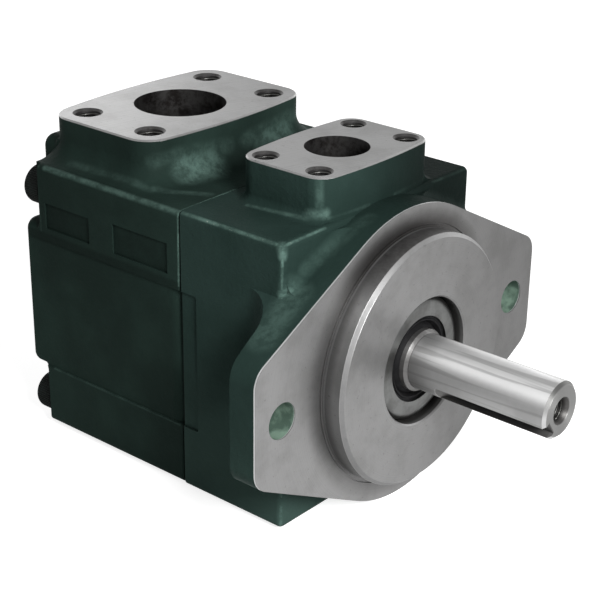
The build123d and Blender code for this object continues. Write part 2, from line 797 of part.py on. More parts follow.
def cam_outline():
    """The inside of the cam ring in Y and Z: four dwell arcs joined by four curves."""
    edges = []
    for quarter in range(4):
        middle = 90 * quarter
        radius = cam_radius(middle)
        arc = ThreePointArc(*(on_circle(radius, middle + a) for a in (-cam_dwell, 0, cam_dwell)))
        edges.append(arc)
        rise_angles = [middle + cam_dwell + share * (90 - 2 * cam_dwell) / 6 for share in range(7)]
        points = [on_circle(cam_radius(a), a) for a in rise_angles]
        first, last = rise_angles[0], rise_angles[-1]
        tangents = [(-sin(radians(first)), cos(radians(first))), (-sin(radians(last)), cos(radians(last)))]
        edges.append(Spline(*points, tangents=tangents))
    return make_face(edges)


def fixing_holes(screw_r, dowel_r, x_from, x_to):
    holes = Part()
    for y, z in cartridge_fixings(cartridge_screw_angle):
        holes += hole_x(y, z, screw_r, x_from, x_to)
    for y, z in cartridge_fixings(cartridge_dowel_angle):
        holes += hole_x(y, z, dowel_r, x_from, x_to)
    return holes


def cam_ring():
    body = disc(cam_outer_r, cam_back_x, cam_front_x)
    body -= along_x(cam_outline(), cam_back_x - past, cam_front_x + past)
    screw_r = cartridge_screw_d / 2 + fixing_gap
    body -= fixing_holes(screw_r, dowel_d / 2 + dowel_gap, cam_back_x - past, cam_front_x + past)
    for angle in (suction_kidney_angle, suction_kidney_angle + 180):
        notch = arc_sector(kidney_inner_r, cam_outer_r + past, angle, kidney_half_angle)
        body -= along_x(notch, cam_front_x - kidney_depth, cam_front_x + past)
        body -= along_x(notch, cam_back_x - past, cam_back_x + kidney_depth)
    return body


def under_vane_groove(x_from, x_to):
    return ring(under_vane_outer_r, under_vane_inner_r, x_from, x_to)


def front_plate():
    body = disc(front_plate_r, cam_front_x, front_plate_x)
    body += disc(nose_r, front_plate_x, nose_front_x)
    body -= disc(shaft_middle_d / 2 + front_plate_bore_gap, cam_front_x - past, nose_front_x + past)
    for angle in (pressure_kidney_angle, pressure_kidney_angle + 180):
        kidney = arc_sector(kidney_inner_r, kidney_outer_r, angle, kidney_half_angle)
        body -= along_x(kidney, cam_front_x - past, front_plate_x + past)
    for angle in (suction_kidney_angle, suction_kidney_angle + 180):
        notch = arc_sector(kidney_inner_r, front_plate_r + past, angle, kidney_half_angle)
        body -= along_x(notch, cam_front_x - past, cam_front_x + kidney_depth / 2)
    body -= under_vane_groove(cam_front_x - past, cam_front_x + under_vane_depth)
    for y, z in cartridge_fixings(cartridge_screw_angle):
        body -= hole_x(y, z, cartridge_screw_d / 2 + thread_gap, cam_front_x - past,
                       cam_front_x + cartridge_screw_grip + blind_room)
    for y, z in cartridge_fixings(cartridge_dowel_angle):
        body -= hole_x(y, z, dowel_d / 2 + dowel_gap, cam_front_x - past,
                       cam_front_x + dowel_engagement + blind_room)
    for bottom_r, middle_x in plate_grooves():
        half = plate_ring_section / 2
        body -= ring(bottom_r + 2 * plate_ring_depth, bottom_r, middle_x - half, middle_x + half)
    return body


def plate_grooves():
    """Bottom radius and middle X of the front plate's two ring grooves."""
    rim = (front_plate_r - plate_ring_depth, front_plate_x - plate_ring_section)
    nose = (nose_r - plate_ring_depth, (boss_end_x + nose_front_x) / 2)
    return [rim, nose]


def rear_plate():
    body = disc(cam_outer_r, rear_plate_x, cam_back_x)
    body += disc(rear_nose_r, rear_nose_x, rear_plate_x)
    body -= disc(rear_journal_r + bushing_wall + seat_gap, rear_nose_x - past, cam_back_x + past)
    for angle in (suction_kidney_angle, suction_kidney_angle + 180):
        window = arc_sector(rear_window_inner_r, rear_window_outer_r, angle, kidney_half_angle)
        body -= along_x(window, rear_plate_x - past, cam_back_x + past)
    for angle in (pressure_kidney_angle, pressure_kidney_angle + 180):
        kidney = arc_sector(kidney_inner_r, kidney_outer_r, angle, kidney_half_angle)
        body -= along_x(kidney, cam_back_x - kidney_depth, cam_back_x + past)
    body -= under_vane_groove(cam_back_x - under_vane_depth, cam_back_x + past)
    screw_r = cartridge_screw_d / 2 + fixing_gap
    head_r = cartridge_screw_head_d / 2 + fixing_gap
    head_depth = cartridge_screw_sink + cartridge_screw_head_height
    for y, z in cartridge_fixings(cartridge_screw_angle):
        body -= hole_x(y, z, screw_r, rear_plate_x - past, cam_back_x + past)
        body -= hole_x(y, z, head_r, rear_plate_x - past, rear_plate_x + head_depth)
    for y, z in cartridge_fixings(cartridge_dowel_angle):
        body -= hole_x(y, z, dowel_d / 2 + dowel_gap, cam_back_x - dowel_engagement - blind_room,
                       cam_back_x + past)
    half = plate_ring_section / 2
    middle_x = (rear_plate_x + rear_nose_x) / 2
    body -= ring(rear_nose_r + past, rear_nose_r - plate_ring_depth, middle_x - half, middle_x + half)
    return body


def rear_bushing():
    return ring(rear_journal_r + bushing_wall, rear_journal_r + bushing_gap,
                rear_nose_x + bushing_inset, rear_nose_x + bushing_inset + bushing_length)


# Ball bearing


def race_groove():
    section = Pos(bearing_middle_x, ball_pitch_r) * Circle(ball_d / 2 + race_gap)
    return revolve(section, Axis.X)


def bearing_outer_ring():
    body = ring(bearing_od / 2 - seat_gap, ball_pitch_r + race_shoulder, bearing_back_x, bearing_front_x)
    body -= race_groove()
    rims = [e for e in body.edges().filter_by(GeomType.CIRCLE) if e.radius > bearing_od / 2 - bearing_edge]
    return chamfer(rims, bearing_edge)


def bearing_inner_ring():
    body = ring(ball_pitch_r - race_shoulder, bearing_bore / 2 + seat_gap, bearing_back_x, bearing_front_x)
    return body - race_groove()


def ball_angles():
    return [(count + 0.5) * 360 / ball_count for count in range(ball_count)]


def bearing_balls():
    balls = []
    for angle in ball_angles():
        y, z = on_circle(ball_pitch_r, angle)
        balls.append(Pos(bearing_middle_x, y, z) * Sphere(ball_d / 2))
    return balls


def bearing_cage():
    half = cage_thickness / 2
    body = ring(ball_pitch_r + half, ball_pitch_r - half, bearing_middle_x - cage_width / 2,
                bearing_middle_x + cage_width / 2)
    pocket_r = ball_d / 2 + cage_gap
    for angle in ball_angles():
        pocket = Pos(0, 0, ball_pitch_r) * Cylinder(pocket_r, 4 * cage_thickness)
        body -= Pos(bearing_middle_x, 0, 0) * Rot(angle - 90, 0, 0) * pocket
    return body


# Retaining rings


def open_ring(outer_r, inner_r, lug_r, gap_at, x_from, x_to):
    """A ring with a gap and two lugs with pliers holes beside it."""
    body = Circle(outer_r) - Circle(inner_r)
    lugs = [on_circle(lug_r, gap_at + side * (ring_gap_angle / 2 + ring_lug_spread)) for side in (-1, 1)]
    for y, z in lugs:
        body += Pos(y, z) * Circle(ring_lug_r)
    body -= arc_sector(inner_r - 2 * ring_lug_r, outer_r + 2 * ring_lug_r, gap_at, ring_gap_angle / 2)
    for y, z in lugs:
        body -= Pos(y, z) * Circle(ring_lug_hole_r)
    return along_x(body, x_from, x_to)


def housing_retaining_ring():
    outer_r = bearing_od / 2 + housing_ring_groove - ring_groove_play
    inner_r = outer_r - housing_ring_width
    x_to = bearing_back_x - ring_groove_play / 2
    return open_ring(outer_r, inner_r, inner_r, -90, x_to - housing_ring_thickness, x_to)


def shaft_retaining_ring():
    inner_r = journal_r - shaft_ring_groove + ring_groove_play / 2
    outer_r = inner_r + shaft_ring_width
    x_from = bearing_front_x + ring_groove_play / 2
    body = Circle(outer_r) - Circle(inner_r)
    body -= arc_sector(inner_r - past, outer_r + past, 90, ring_gap_angle / 2)
    return along_x(body, x_from, x_from + shaft_ring_thickness)


# Shaft seal


def seal_case():
    """The pressed steel cup, whose rounded front shows in the recess."""
    outer_r = seal_od / 2 - seat_gap
    inner_r = outer_r - seal_case_wall
    face_r = outer_r - seal_case_round
    window_r = journal_r + seal_case_rise
    shoulder_x = seal_front_x - seal_case_round
    wall_x = seal_front_x - seal_case_wall
    bend = seal_case_round * (1 - sin(radians(45)))
    outline = (
        Line((seal_back_x, outer_r), (shoulder_x, outer_r))
        + ThreePointArc((shoulder_x, outer_r), (seal_front_x - bend, outer_r - bend), (seal_front_x, face_r))
        + Polyline((seal_front_x, face_r), (seal_front_x, window_r), (wall_x, window_r), (wall_x, face_r),
                   (shoulder_x, inner_r), (seal_back_x, inner_r), (seal_back_x, outer_r))
    )
    return turned(outline)


def seal_lip():
    """The rubber: a disc behind the case's front, a dust lip and the sprung lip behind it."""
    lip_r = journal_r + seal_lip_gap
    disc_r = seal_od / 2 - seat_gap - seal_case_round
    front_x = seal_front_x - seal_case_wall
    disc_edge = [(front_x - seal_rubber_thickness, disc_r), (front_x, disc_r)]
    lips = [(front_x - back, lip_r + height) for back, height in seal_lip_profile]
    return turned(Polyline(*disc_edge, *lips, close=True))


def seal_spring():
    section = Pos(seal_front_x - seal_spring_setback, journal_r + seal_spring_rise) * Circle(seal_spring_r)
    return revolve(section, Axis.X)


# O-rings


def body_o_ring():
    depth = body_ring_squeeze * body_ring_section
    section = Pos(parting_x - depth / 2, body_ring_r) * Circle(depth / 2 - ring_squeeze_gap)
    return revolve(section, Axis.X)


def front_plate_o_ring():
    bottom_r, middle_x = plate_grooves()[0]
    return o_ring(bottom_r, front_plate_r + plate_bore_gap, middle_x)


def front_nose_o_ring():
    bottom_r, middle_x = plate_grooves()[1]
    return o_ring(bottom_r, bearing_od / 2, middle_x)


def rear_nose_o_ring():
    middle_x = (rear_plate_x + rear_nose_x) / 2
    return o_ring(rear_nose_r - plate_ring_depth, rear_nose_r + nose_gap, middle_x)


pieces = {
    "front_housing": front_housing(),
    "rear_housing": rear_housing(),
    "housing_screws": housing_screws(),
    "body_o_ring": body_o_ring(),
    "shaft": shaft(),
    "rotor": rotor(),
    "cam_ring": cam_ring(),
    "front_plate": front_plate(),
    "rear_plate": rear_plate(),
    "rear_bushing": rear_bushing(),
    "cartridge_screws": cartridge_screws(),
    "dowel_pins": dowel_pins(),
    "front_plate_o_ring": front_plate_o_ring(),
    "front_nose_o_ring": front_nose_o_ring(),
    "rear_nose_o_ring": rear_nose_o_ring(),
    "bearing_outer_ring": bearing_outer_ring(),
    "bearing_inner_ring": bearing_inner_ring(),
    "bearing_balls": bearing_balls(),
    "bearing_cage": bearing_cage(),
    "housing_retaining_ring": housing_retaining_ring(),
    "shaft_retaining_ring": shaft_retaining_ring(),
    "seal_case": seal_case(),
    "seal_lip": seal_lip(),
    "seal_spring": seal_spring(),
}
for number in range(vane_count):
    pieces[f"vane_{number + 1}"] = vane(number)

for name, shape in pieces.items():
    if isinstance(shape, list):
        shape = Compound(children=shape)
    export_step(shape, f"parts/{name}.step")
    print(name, round(shape.volume, 1))
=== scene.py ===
# %% [markdown]
# A flange-mounted vane pump in two painted castings.
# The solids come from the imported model, which is loaded first and never moved.
# This lesson dresses them: it gives every solid a finish, adds the small forms that are
# too fine for the solids, such as threads and knurling, and sets light and camera.
# Everything is in metres. X runs along the shaft, Z is up, and the origin is the centre
# of the mounting flange's face.

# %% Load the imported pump
import bmesh
import bpy
import json
from math import cos, pi, radians, sin
from mathutils import Matrix, Vector


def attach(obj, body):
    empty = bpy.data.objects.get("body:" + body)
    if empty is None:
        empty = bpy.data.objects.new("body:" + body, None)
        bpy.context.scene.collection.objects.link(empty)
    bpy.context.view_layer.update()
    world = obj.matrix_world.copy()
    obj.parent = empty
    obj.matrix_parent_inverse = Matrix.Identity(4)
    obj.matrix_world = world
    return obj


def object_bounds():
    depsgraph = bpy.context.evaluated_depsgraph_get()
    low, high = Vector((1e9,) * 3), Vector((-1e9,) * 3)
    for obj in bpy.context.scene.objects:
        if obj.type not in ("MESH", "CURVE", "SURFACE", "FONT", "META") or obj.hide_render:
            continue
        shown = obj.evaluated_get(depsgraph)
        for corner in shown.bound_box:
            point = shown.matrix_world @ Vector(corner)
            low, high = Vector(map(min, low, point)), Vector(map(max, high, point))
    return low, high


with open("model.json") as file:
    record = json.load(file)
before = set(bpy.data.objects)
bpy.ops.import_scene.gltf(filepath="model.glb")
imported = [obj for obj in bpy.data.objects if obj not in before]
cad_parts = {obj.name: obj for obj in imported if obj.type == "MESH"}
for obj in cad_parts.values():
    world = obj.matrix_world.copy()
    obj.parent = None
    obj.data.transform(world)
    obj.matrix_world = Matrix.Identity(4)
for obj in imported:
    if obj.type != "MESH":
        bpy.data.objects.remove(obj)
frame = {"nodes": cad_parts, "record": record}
solids = frame["nodes"]
box_of_solids = [list(corner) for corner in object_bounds()]
print("solids:", len(solids), "box in mm:", [[round(v * 1000, 1) for v in c] for c in box_of_solids])

# %% [markdown]
# The solids arrive as loose triangles, so a polished shaft would show every facet.
# Shading could be smoothed in a copy of each mesh, but the solids must stay untouched.
# Three live modifiers do the same work: one welds the triangles, one splits the shading
# at real corners, and one lets the large faces decide the normals of the small rounds.

# %% Smooth the shading of the solids
WELD_DISTANCE = 2e-6
CORNER_ANGLE = radians(32)
LARGE_FACE_WEIGHT = 80


def smooth_shading(piece):
    """Shade the rounds smooth and keep the corners crisp, with live modifiers only."""
    mesh = piece.data
    if "custom_normal" in mesh.attributes:
        mesh.attributes.remove(mesh.attributes["custom_normal"])
    mesh.polygons.foreach_set("use_smooth", [True] * len(mesh.polygons))
    weld = piece.modifiers.new("weld", "WELD")
    weld.merge_threshold = WELD_DISTANCE
    split = piece.modifiers.new("corners", "EDGE_SPLIT")
    split.split_angle = CORNER_ANGLE
    split.use_edge_sharp = False
    normals = piece.modifiers.new("normals", "WEIGHTED_NORMAL")
    normals.keep_sharp = True
    normals.weight = LARGE_FACE_WEIGHT


for solid in solids.values():
    smooth_shading(solid)
print("shaded:", len(solids), "triangles:", sum(len(s.data.polygons) for s in solids.values()))

# %% [markdown]
# Every finish is a tree of shader nodes. Writing each node and link in full would bury
# what matters, so a small helper holds one tree and offers short calls: arithmetic on
# places, soft steps that turn a place into a mask, noise, mixing and bump.
# All patterns read Object coordinates, so they stay on the metal when a part turns.

# %% A helper for finishes
SOCKETS = {"specular_ior_level": "Specular IOR Level", "anisotropic": "Anisotropic",
           "anisotropic_rotation": "Anisotropic Rotation"}


class Finish:
    """The node tree of one finish, with short ways to add and join nodes."""

    def __init__(self, name):
        self.material = bpy.data.materials.new(name)
        self.material.use_nodes = True
        self.tree = self.material.node_tree
        self.shader = self.tree.nodes["Principled BSDF"]
        self.place = self.add("ShaderNodeTexCoord").outputs["Object"]
        split = self.add("ShaderNodeSeparateXYZ")
        self.join(self.place, split.inputs[0])
        self.x, self.y, self.z = split.outputs

    def add(self, kind):
        return self.tree.nodes.new(kind)

    def join(self, source, socket):
        """Link a node's output, or set a plain value, on a socket."""
        if isinstance(source, bpy.types.NodeSocket):
            self.tree.links.new(source, socket)
        elif source is not None:
            socket.default_value = source

    def math(self, operation, first, second=None, third=None):
        node = self.add("ShaderNodeMath")
        node.operation = operation
        for socket, source in zip(node.inputs, (first, second, third)):
            self.join(source, socket)
        return node.outputs[0]

    def size(self, value):
        return self.math("ABSOLUTE", value)

    def away(self, first, first_at, second, second_at):
        """Distance from a point, measured along two of the axes."""
        a = self.math("POWER", self.math("SUBTRACT", first, first_at), 2.0)
        b = self.math("POWER", self.math("SUBTRACT", second, second_at), 2.0)
        return self.math("SQRT", self.math("ADD", a, b))

    def step(self, value, low, high):
        """A soft step: 0 below low and 1 above high, or the other way round."""
        node = self.add("ShaderNodeMapRange")
        node.interpolation_type = "SMOOTHSTEP"
        self.join(value, node.inputs["Value"])
        rising = high > low
        node.inputs["From Min"].default_value = low if rising else high
        node.inputs["From Max"].default_value = high if rising else low
        node.inputs["To Min"].default_value = 0.0 if rising else 1.0
        node.inputs["To Max"].default_value = 1.0 if rising else 0.0
        return node.outputs["Result"]

    def both(self, *masks):
        """Where all the masks hold: their product."""
        result = masks[0]
        for mask in masks[1:]:
            result = self.math("MULTIPLY", result, mask)
        return result

    def either(self, *masks):
        """Where any of the masks holds: the largest."""
        result = masks[0]
        for mask in masks[1:]:
            result = self.math("MAXIMUM", result, mask)
        return result

    def spread(self, value, low, high):
        """Stretch a 0 to 1 value over another range."""
        return self.math("MULTIPLY_ADD", value, high - low, low)

    def noise(self, per_metre, detail=3.0, rough=0.55, stretch=(1.0, 1.0, 1.0)):
        """Cloudy noise with so many features to a metre."""
        mapping = self.add("ShaderNodeMapping")
        mapping.inputs["Scale"].default_value = stretch
        self.join(self.place, mapping.inputs["Vector"])
        node = self.add("ShaderNodeTexNoise")
        node.inputs["Scale"].default_value = per_metre
        node.inputs["Detail"].default_value = detail
        node.inputs["Roughness"].default_value = rough
        self.join(mapping.outputs[0], node.inputs["Vector"])
        return node.outputs["Fac"]

    def lines(self, value, per_metre, detail=2.0):
        """Uneven fine lines, as a tool leaves them, across one measured value."""
        node = self.add("ShaderNodeTexNoise")
        node.noise_dimensions = "1D"
        node.inputs["Scale"].default_value = per_metre
        node.inputs["Detail"].default_value = detail
        self.join(value, node.inputs["W"])
        return node.outputs["Fac"]

    def blend(self, mask, first, second):
        """A colour that goes from first to second as the mask goes from 0 to 1."""
        node = self.add("ShaderNodeMix")
        node.data_type = "RGBA"
        self.join(mask, node.inputs[0])
        self.join(first, node.inputs[6])
        self.join(second, node.inputs[7])
        return node.outputs[2]

    def mixed(self, mask, first, second):
        """A number that goes from first to second as the mask goes from 0 to 1."""
        node = self.add("ShaderNodeMix")
        node.data_type = "FLOAT"
        self.join(mask, node.inputs[0])
        self.join(first, node.inputs[2])
        self.join(second, node.inputs[3])
        return node.outputs[0]

    def relief(self, height, depth, strength=1.0):
        """Bump the surface by a 0 to 1 height, as deep as given."""
        node = self.add("ShaderNodeBump")
        node.inputs["Distance"].default_value = depth
        node.inputs["Strength"].default_value = strength
        self.join(height, node.inputs["Height"])
        self.join(node.outputs[0], self.shader.inputs["Normal"])

    def finish(self, colour, rough, metal, **plain):
        """Join the tree to the shader and return the material."""
        self.join(colour, self.shader.inputs["Base Color"])
        self.join(rough, self.shader.inputs["Roughness"])
        self.join(metal, self.shader.inputs["Metallic"])
        for name, value in plain.items():
            self.shader.inputs[SOCKETS[name]].default_value = value
        return self.material


def shade(red, green, blue):
    """A shader colour from the 0 to 255 numbers of a screen."""
    linear = []
    for part in (red, green, blue):
        share = part / 255
        linear.append(share / 12.92 if share <= 0.04045 else ((share + 0.055) / 1.055) ** 2.4)
    return (*linear, 1.0)


print("helper ready, a mid grey is", [round(v, 3) for v in shade(128, 128, 128)])

# %% [markdown]
# Both castings are sprayed dark green over a fine sand skin and then machined, so paint
# and bare metal meet at sharp borders: the pads, the flange face, the pilot and the
# recess are bare, and everything else is green. A second set of solids could carry the
# bare faces, but a mask from the places of the cuts gives the same borders and costs no
# geometry. The masks need these sizes, which are the solids' own.

# %% Sizes that the castings' finish needs
MM = 0.001
PARTING_X = -65.5 * MM
PAD_Z = 76.2 * MM
PAD_EDGE = 0.5 * MM
PRESSURE_PORT = {"x": -36.5 * MM, "bore": 12.7 * MM, "bolt_x": 13.1 * MM, "bolt_y": 26.2 * MM, "tap": 4.4 * MM}
SUCTION_PORT = {"x": -120.1 * MM, "bore": 19.05 * MM, "bolt_x": 17.85 * MM, "bolt_y": 34.95 * MM, "tap": 5.3 * MM}
TAP_MOUTH = 0.9 * MM
print("mm between the ports:", round((PRESSURE_PORT["x"] - SUCTION_PORT["x"]) / MM, 1))

# %% [markdown]
# Sprayed paint is a little cloudy, so each casting's green is two tones that run into
# each other. One flat tone would look like plastic. Milled iron is a middle grey, nearly
# white on a rubbed edge, and nearly black where oil has dried on it and where shade is painted.

# %% Colours of the paint and the bare metal
FRONT_TONES = (shade(34, 49, 45), shade(42, 58, 54))
# The rear casting's green is the same paint made darker, painted shade for the back of the pump.
REAR_TONES_SHADED = (shade(29, 41, 37), shade(37, 52, 47))
# Paint rubbed lighter, also used for painted highlights and painted light from below.
PAINT_RUBBED_AND_LIT = shade(106, 134, 125)
PAINT_IN_HOLES = (shade(112, 134, 120), shade(72, 90, 80))
PRIMER = shade(140, 152, 143)
# The dark of the parting line and of dirt, also used for painted shade.
JOINT_DIRT_AND_SHADE = shade(8, 11, 10)
BARE_MILLED = shade(142, 142, 142)
BARE_STAINED = shade(114, 114, 113)
BARE_RIM = shade(112, 112, 112)
BARE_EDGE = shade(196, 197, 197)
BARE_DARK = shade(48, 46, 45)
# Painted shade inside the bores and tapped holes.
BORE_PAINTED_SHADE = shade(30, 28, 27)
print("paint of the front casting:", [round(v, 3) for v in FRONT_TONES[1][:3]])

# %% [markdown]
# Paint wears where hands and benches touch it: on the long outer edges, at the foot of the
# necks and on a few prominent corners. The same paths also paint highlights where light
# catches the rounded edges and corners. An edge mask could come from the mesh's curvature,
# but that needs dense vertices. The places are known, so the distance to short straight
# paths does it, the same on both sides, and noise breaks it into uneven flecks.


# %% Wear and painted highlight along a straight path
def mirrored_place(f):
    """The place with both sides of the pump folded onto one."""
    folded = f.add("ShaderNodeCombineXYZ")
    f.join(f.x, folded.inputs[0])
    f.join(f.size(f.y), folded.inputs[1])
    f.join(f.z, folded.inputs[2])
    return folded.outputs[0]


def vector(f, operation, first, second=None, scale=None):
    """Vector arithmetic, with a number as the result of a length or a dot product."""
    node = f.add("ShaderNodeVectorMath")
    node.operation = operation
    f.join(first, node.inputs[0])
    f.join(second, node.inputs[1])
    if scale is not None:
        f.join(scale, node.inputs["Scale"])
    return node.outputs["Value"] if operation in ("DOT_PRODUCT", "LENGTH") else node.outputs["Vector"]


def wear_and_highlight_path(f, place, start, end, width, strength):
    """Wear and painted highlight of a given strength along a straight path, fading out over its width."""
    first = Vector(start) * MM
    span = Vector(end) * MM - first
    from_start = vector(f, "SUBTRACT", place, first[:])
    share = vector(f, "DOT_PRODUCT", from_start, (span / span.length_squared)[:])
    share = f.math("MINIMUM", f.math("MAXIMUM", share, 0.0), 1.0)
    on_path = vector(f, "SCALE", span[:], scale=share)
    away = vector(f, "LENGTH", vector(f, "SUBTRACT", from_start, on_path))
    return f.math("MULTIPLY", f.step(away, width * MM, 0.2 * width * MM), strength)


# %% Where the paint is worn and where highlights are painted
# Each path has its start, end and width in mm, and its strength. Y counts from the middle.
FRONT_WEAR_AND_HIGHLIGHTS = [
    ((-64.0, 56.7, 58.2), (-15.0, 56.7, 58.2), 1.2, 0.60),
    ((-14.4, 56.7, 58.2), (-14.4, 33.0, 58.4), 1.0, 0.50),
    ((-14.4, 56.7, 58.0), (-14.4, 57.2, 38.5), 1.0, 0.55),
    # A painted highlight on the front block's rounded top corner.
    ((-16.0, 55.5, 57.5), (-14.5, 56.5, 54.0), 2.6, 0.50),
    ((-15.0, 57.5, 39.5), (-13.0, 54.0, 40.5), 2.6, 0.50),
    ((-50.0, 36.5, 59.3), (-23.0, 34.6, 60.2), 1.3, 0.28),
    ((-22.5, 33.8, 61.5), (-17.0, 30.5, 62.5), 3.2, 0.42),
    ((-16.8, 29.5, 60.5), (-14.6, 8.0, 60.2), 1.3, 0.25),
    ((-18.3, 31.8, 62.0), (-18.6, 32.0, 75.0), 2.4, 0.24),
    ((-13.0, 46.0, 46.5), (-8.6, 15.0, 59.0), 4.5, 0.10),
    ((-11.0, 54.0, 40.0), (-9.0, 73.0, 30.5), 9.0, 0.25),
    ((-64.0, 56.7, -58.2), (-15.0, 56.7, -58.2), 1.0, 0.35),
    ((-14.4, 56.7, -58.0), (-14.4, 56.7, -38.5), 1.4, 0.50),
]
REAR_WEAR_AND_HIGHLIGHTS = [
    # Partly wear and partly a painted highlight on the rounded top edge and on the parting lip.
    ((-141.0, 56.3, 57.3), (-67.0, 56.3, 57.3), 1.8, 0.42),
    ((-66.1, 56.6, 57.0), (-66.1, 57.3, 28.0), 0.7, 0.50),
    ((-66.2, 55.5, 57.6), (-66.2, 24.0, 58.3), 0.8, 0.42),
    ((-132.0, 50.5, 59.6), (-88.0, 49.0, 59.8), 2.6, 0.14),
    ((-88.0, 47.0, 58.5), (-70.0, 36.0, 58.3), 3.2, 0.24),
    ((-93.5, 42.0, 67.5), (-90.5, 33.0, 68.3), 4.5, 0.16),
    ((-90.5, 33.0, 68.3), (-88.5, 5.0, 66.0), 5.0, 0.14),
    # A painted highlight on the front corner of the suction neck's flare.
    ((-88.0, 29.0, 62.0), (-86.0, 17.0, 61.0), 10.5, 0.46),
    # Painted light along the ledge at z = -32 mm, which lifts its shadow.
    ((-141.0, 57.0, -32.1), (-67.0, 57.0, -32.1), 0.9, 0.16),
    ((-141.0, 56.3, -57.3), (-67.0, 56.3, -57.3), 1.0, 0.30),
    ((-144.5, 56.3, 57.0), (-144.5, 56.8, 30.0), 1.0, 0.25),
]
print("worn paths:", len(FRONT_WEAR_AND_HIGHLIGHTS), "in front and", len(REAR_WEAR_AND_HIGHLIGHTS), "behind")

# %% [markdown]
# A casting's finish has two layers. The paint is cloudy, rubbed lighter along the worn
# paths, which also carry painted highlights, chipped to the primer in flecks, dark with
# dirt in the parting line, and darker with painted shade in a few places. The metal has
# arcs from the milling cutter on the pads and rings on what was turned, stains, and
# painted shade in the holes. Two materials on one mesh would need a border between faces;
# one material that blends both layers by a mask puts the border where the cut was.
# Noise is given in features per metre: 24 makes clouds of 40 mm, and 1100 a fine grain.

# %% The layers of a casting's finish
BORE_DEPTH = 45 * MM
CUTTER_AT = (0.22, -0.10)


def port_cuts(f, port):
    """Masks of a pad's milled face, of the bore and of the tapped holes."""
    pad = f.step(f.z, PAD_Z - 1.5 * PAD_EDGE, PAD_Z - 1.2 * PAD_EDGE)
    off_x = f.math("SUBTRACT", f.x, port["x"])
    reach = f.step(f.z, PAD_Z - BORE_DEPTH, PAD_Z - BORE_DEPTH + MM)
    bore = f.step(f.away(off_x, 0.0, f.y, 0.0), port["bore"] + 0.12 * MM, port["bore"] + 0.02 * MM)
    tap_r = port["tap"] + TAP_MOUTH
    taps_away = f.away(f.size(off_x), port["bolt_x"], f.size(f.y), port["bolt_y"])
    taps = f.step(taps_away, tap_r + 0.04 * MM, tap_r - 0.06 * MM)
    return pad, f.both(bore, reach), f.both(taps, reach)


def paint_layer(f, wear_and_highlights, tones, marks):
    """Cloudy green, lighter where it is scuffed and where highlights and light from below are painted, chipped to
    the primer in flecks, and dark in the joint, in dirt and in painted shade.
    """
    clouds = f.step(f.noise(24, 4.0), 0.34, 0.68)
    folded = mirrored_place(f)
    worn_and_lit = f.either(*[wear_and_highlight_path(f, folded, *path) for path in wear_and_highlights])
    streaks = f.step(f.noise(170, 5.0, 0.7), 0.36, 0.64)
    rubbed_and_lit = f.either(f.both(worn_and_lit, f.spread(streaks, 0.30, 1.0)), marks["painted_light_below"])
    chips = f.both(f.step(worn_and_lit, 0.40, 0.65), f.step(f.noise(800, 3.0, 0.7), 0.64, 0.70))
    in_hole = f.blend(f.step(f.noise(120, 4.0), 0.40, 0.62), *PAINT_IN_HOLES)
    joint = f.step(f.size(f.math("SUBTRACT", f.x, PARTING_X)), 0.40 * MM, 0.15 * MM)
    colour = f.blend(clouds, *tones)
    colour = f.blend(rubbed_and_lit, colour, PAINT_RUBBED_AND_LIT)
    colour = f.blend(chips, colour, PRIMER)
    colour = f.blend(marks["holes"], colour, in_hole)
    return f.blend(f.either(joint, marks["dirt_and_shade"]), colour, JOINT_DIRT_AND_SHADE)


def metal_layer(f, bore, taps, marks):
    """The colour and the roughness of machined iron, and the height of its tool marks."""
    arcs = f.lines(f.away(f.x, CUTTER_AT[0], f.y, CUTTER_AT[1]), 1500)
    rings = f.lines(f.away(f.y, 0.0, f.z, 0.0), 2600)
    tool = f.mixed(marks["turned"], arcs, rings)
    stains = f.step(f.noise(55, 5.0, 0.65), 0.40, 0.70)
    specks = f.step(f.noise(700, 3.0, 0.7), 0.62, 0.72)
    # Painted shade inside the bores and tapped holes, mottled by noise.
    bore_mottle = f.spread(f.step(f.noise(190, 5.0, 0.7), 0.36, 0.66), 0.86, 1.0)
    in_holes = f.both(f.either(bore, f.math("MULTIPLY", taps, 0.85)), bore_mottle)
    colour = f.blend(f.math("MULTIPLY", stains, 0.55), BARE_MILLED, BARE_STAINED)
    colour = f.blend(f.spread(tool, 0.0, 0.35), colour, BARE_STAINED)
    colour = f.blend(f.math("MULTIPLY", specks, 0.35), colour, BARE_DARK)
    colour = f.blend(marks["rim"], colour, BARE_RIM)
    # Oil, and on the front casting painted shade round the pilot and on the recess wall.
    colour = f.blend(marks["oil_and_shade"], colour, BARE_DARK)
    colour = f.blend(marks["edge"], colour, BARE_EDGE)
    colour = f.blend(in_holes, colour, BORE_PAINTED_SHADE)
    rough = f.mixed(f.either(bore, taps), f.spread(tool, 0.32, 0.46), 0.52)
    return colour, f.mixed(marks["rim"], rough, 0.75), f.math("MULTIPLY", tool, 0.10)


def casting_finish(name, port, wear_and_highlights, tones, marks_of):
    """Green paint over cast skin, with bare metal where the cutters went."""
    f = Finish(name)
    pad, bore, taps = port_cuts(f, port)
    marks = marks_of(f)
    bare = f.either(pad, bore, taps, marks["bare"])
    paint = paint_layer(f, wear_and_highlights, tones, marks)
    metal, metal_rough, tool_marks = metal_layer(f, bore, taps, marks)
    fine = f.noise(1100, 2.0)
    cast_skin = f.both(f.noise(420, 4.0, 0.62), f.spread(fine, 0.75, 1.0))
    f.relief(f.mixed(bare, cast_skin, tool_marks), 0.35 * MM, 0.9)
    rough = f.mixed(bare, f.spread(fine, 0.45, 0.62), metal_rough)
    return f.finish(f.blend(bare, paint, metal), rough, f.math("MULTIPLY", bare, 0.8), specular_ior_level=0.012)


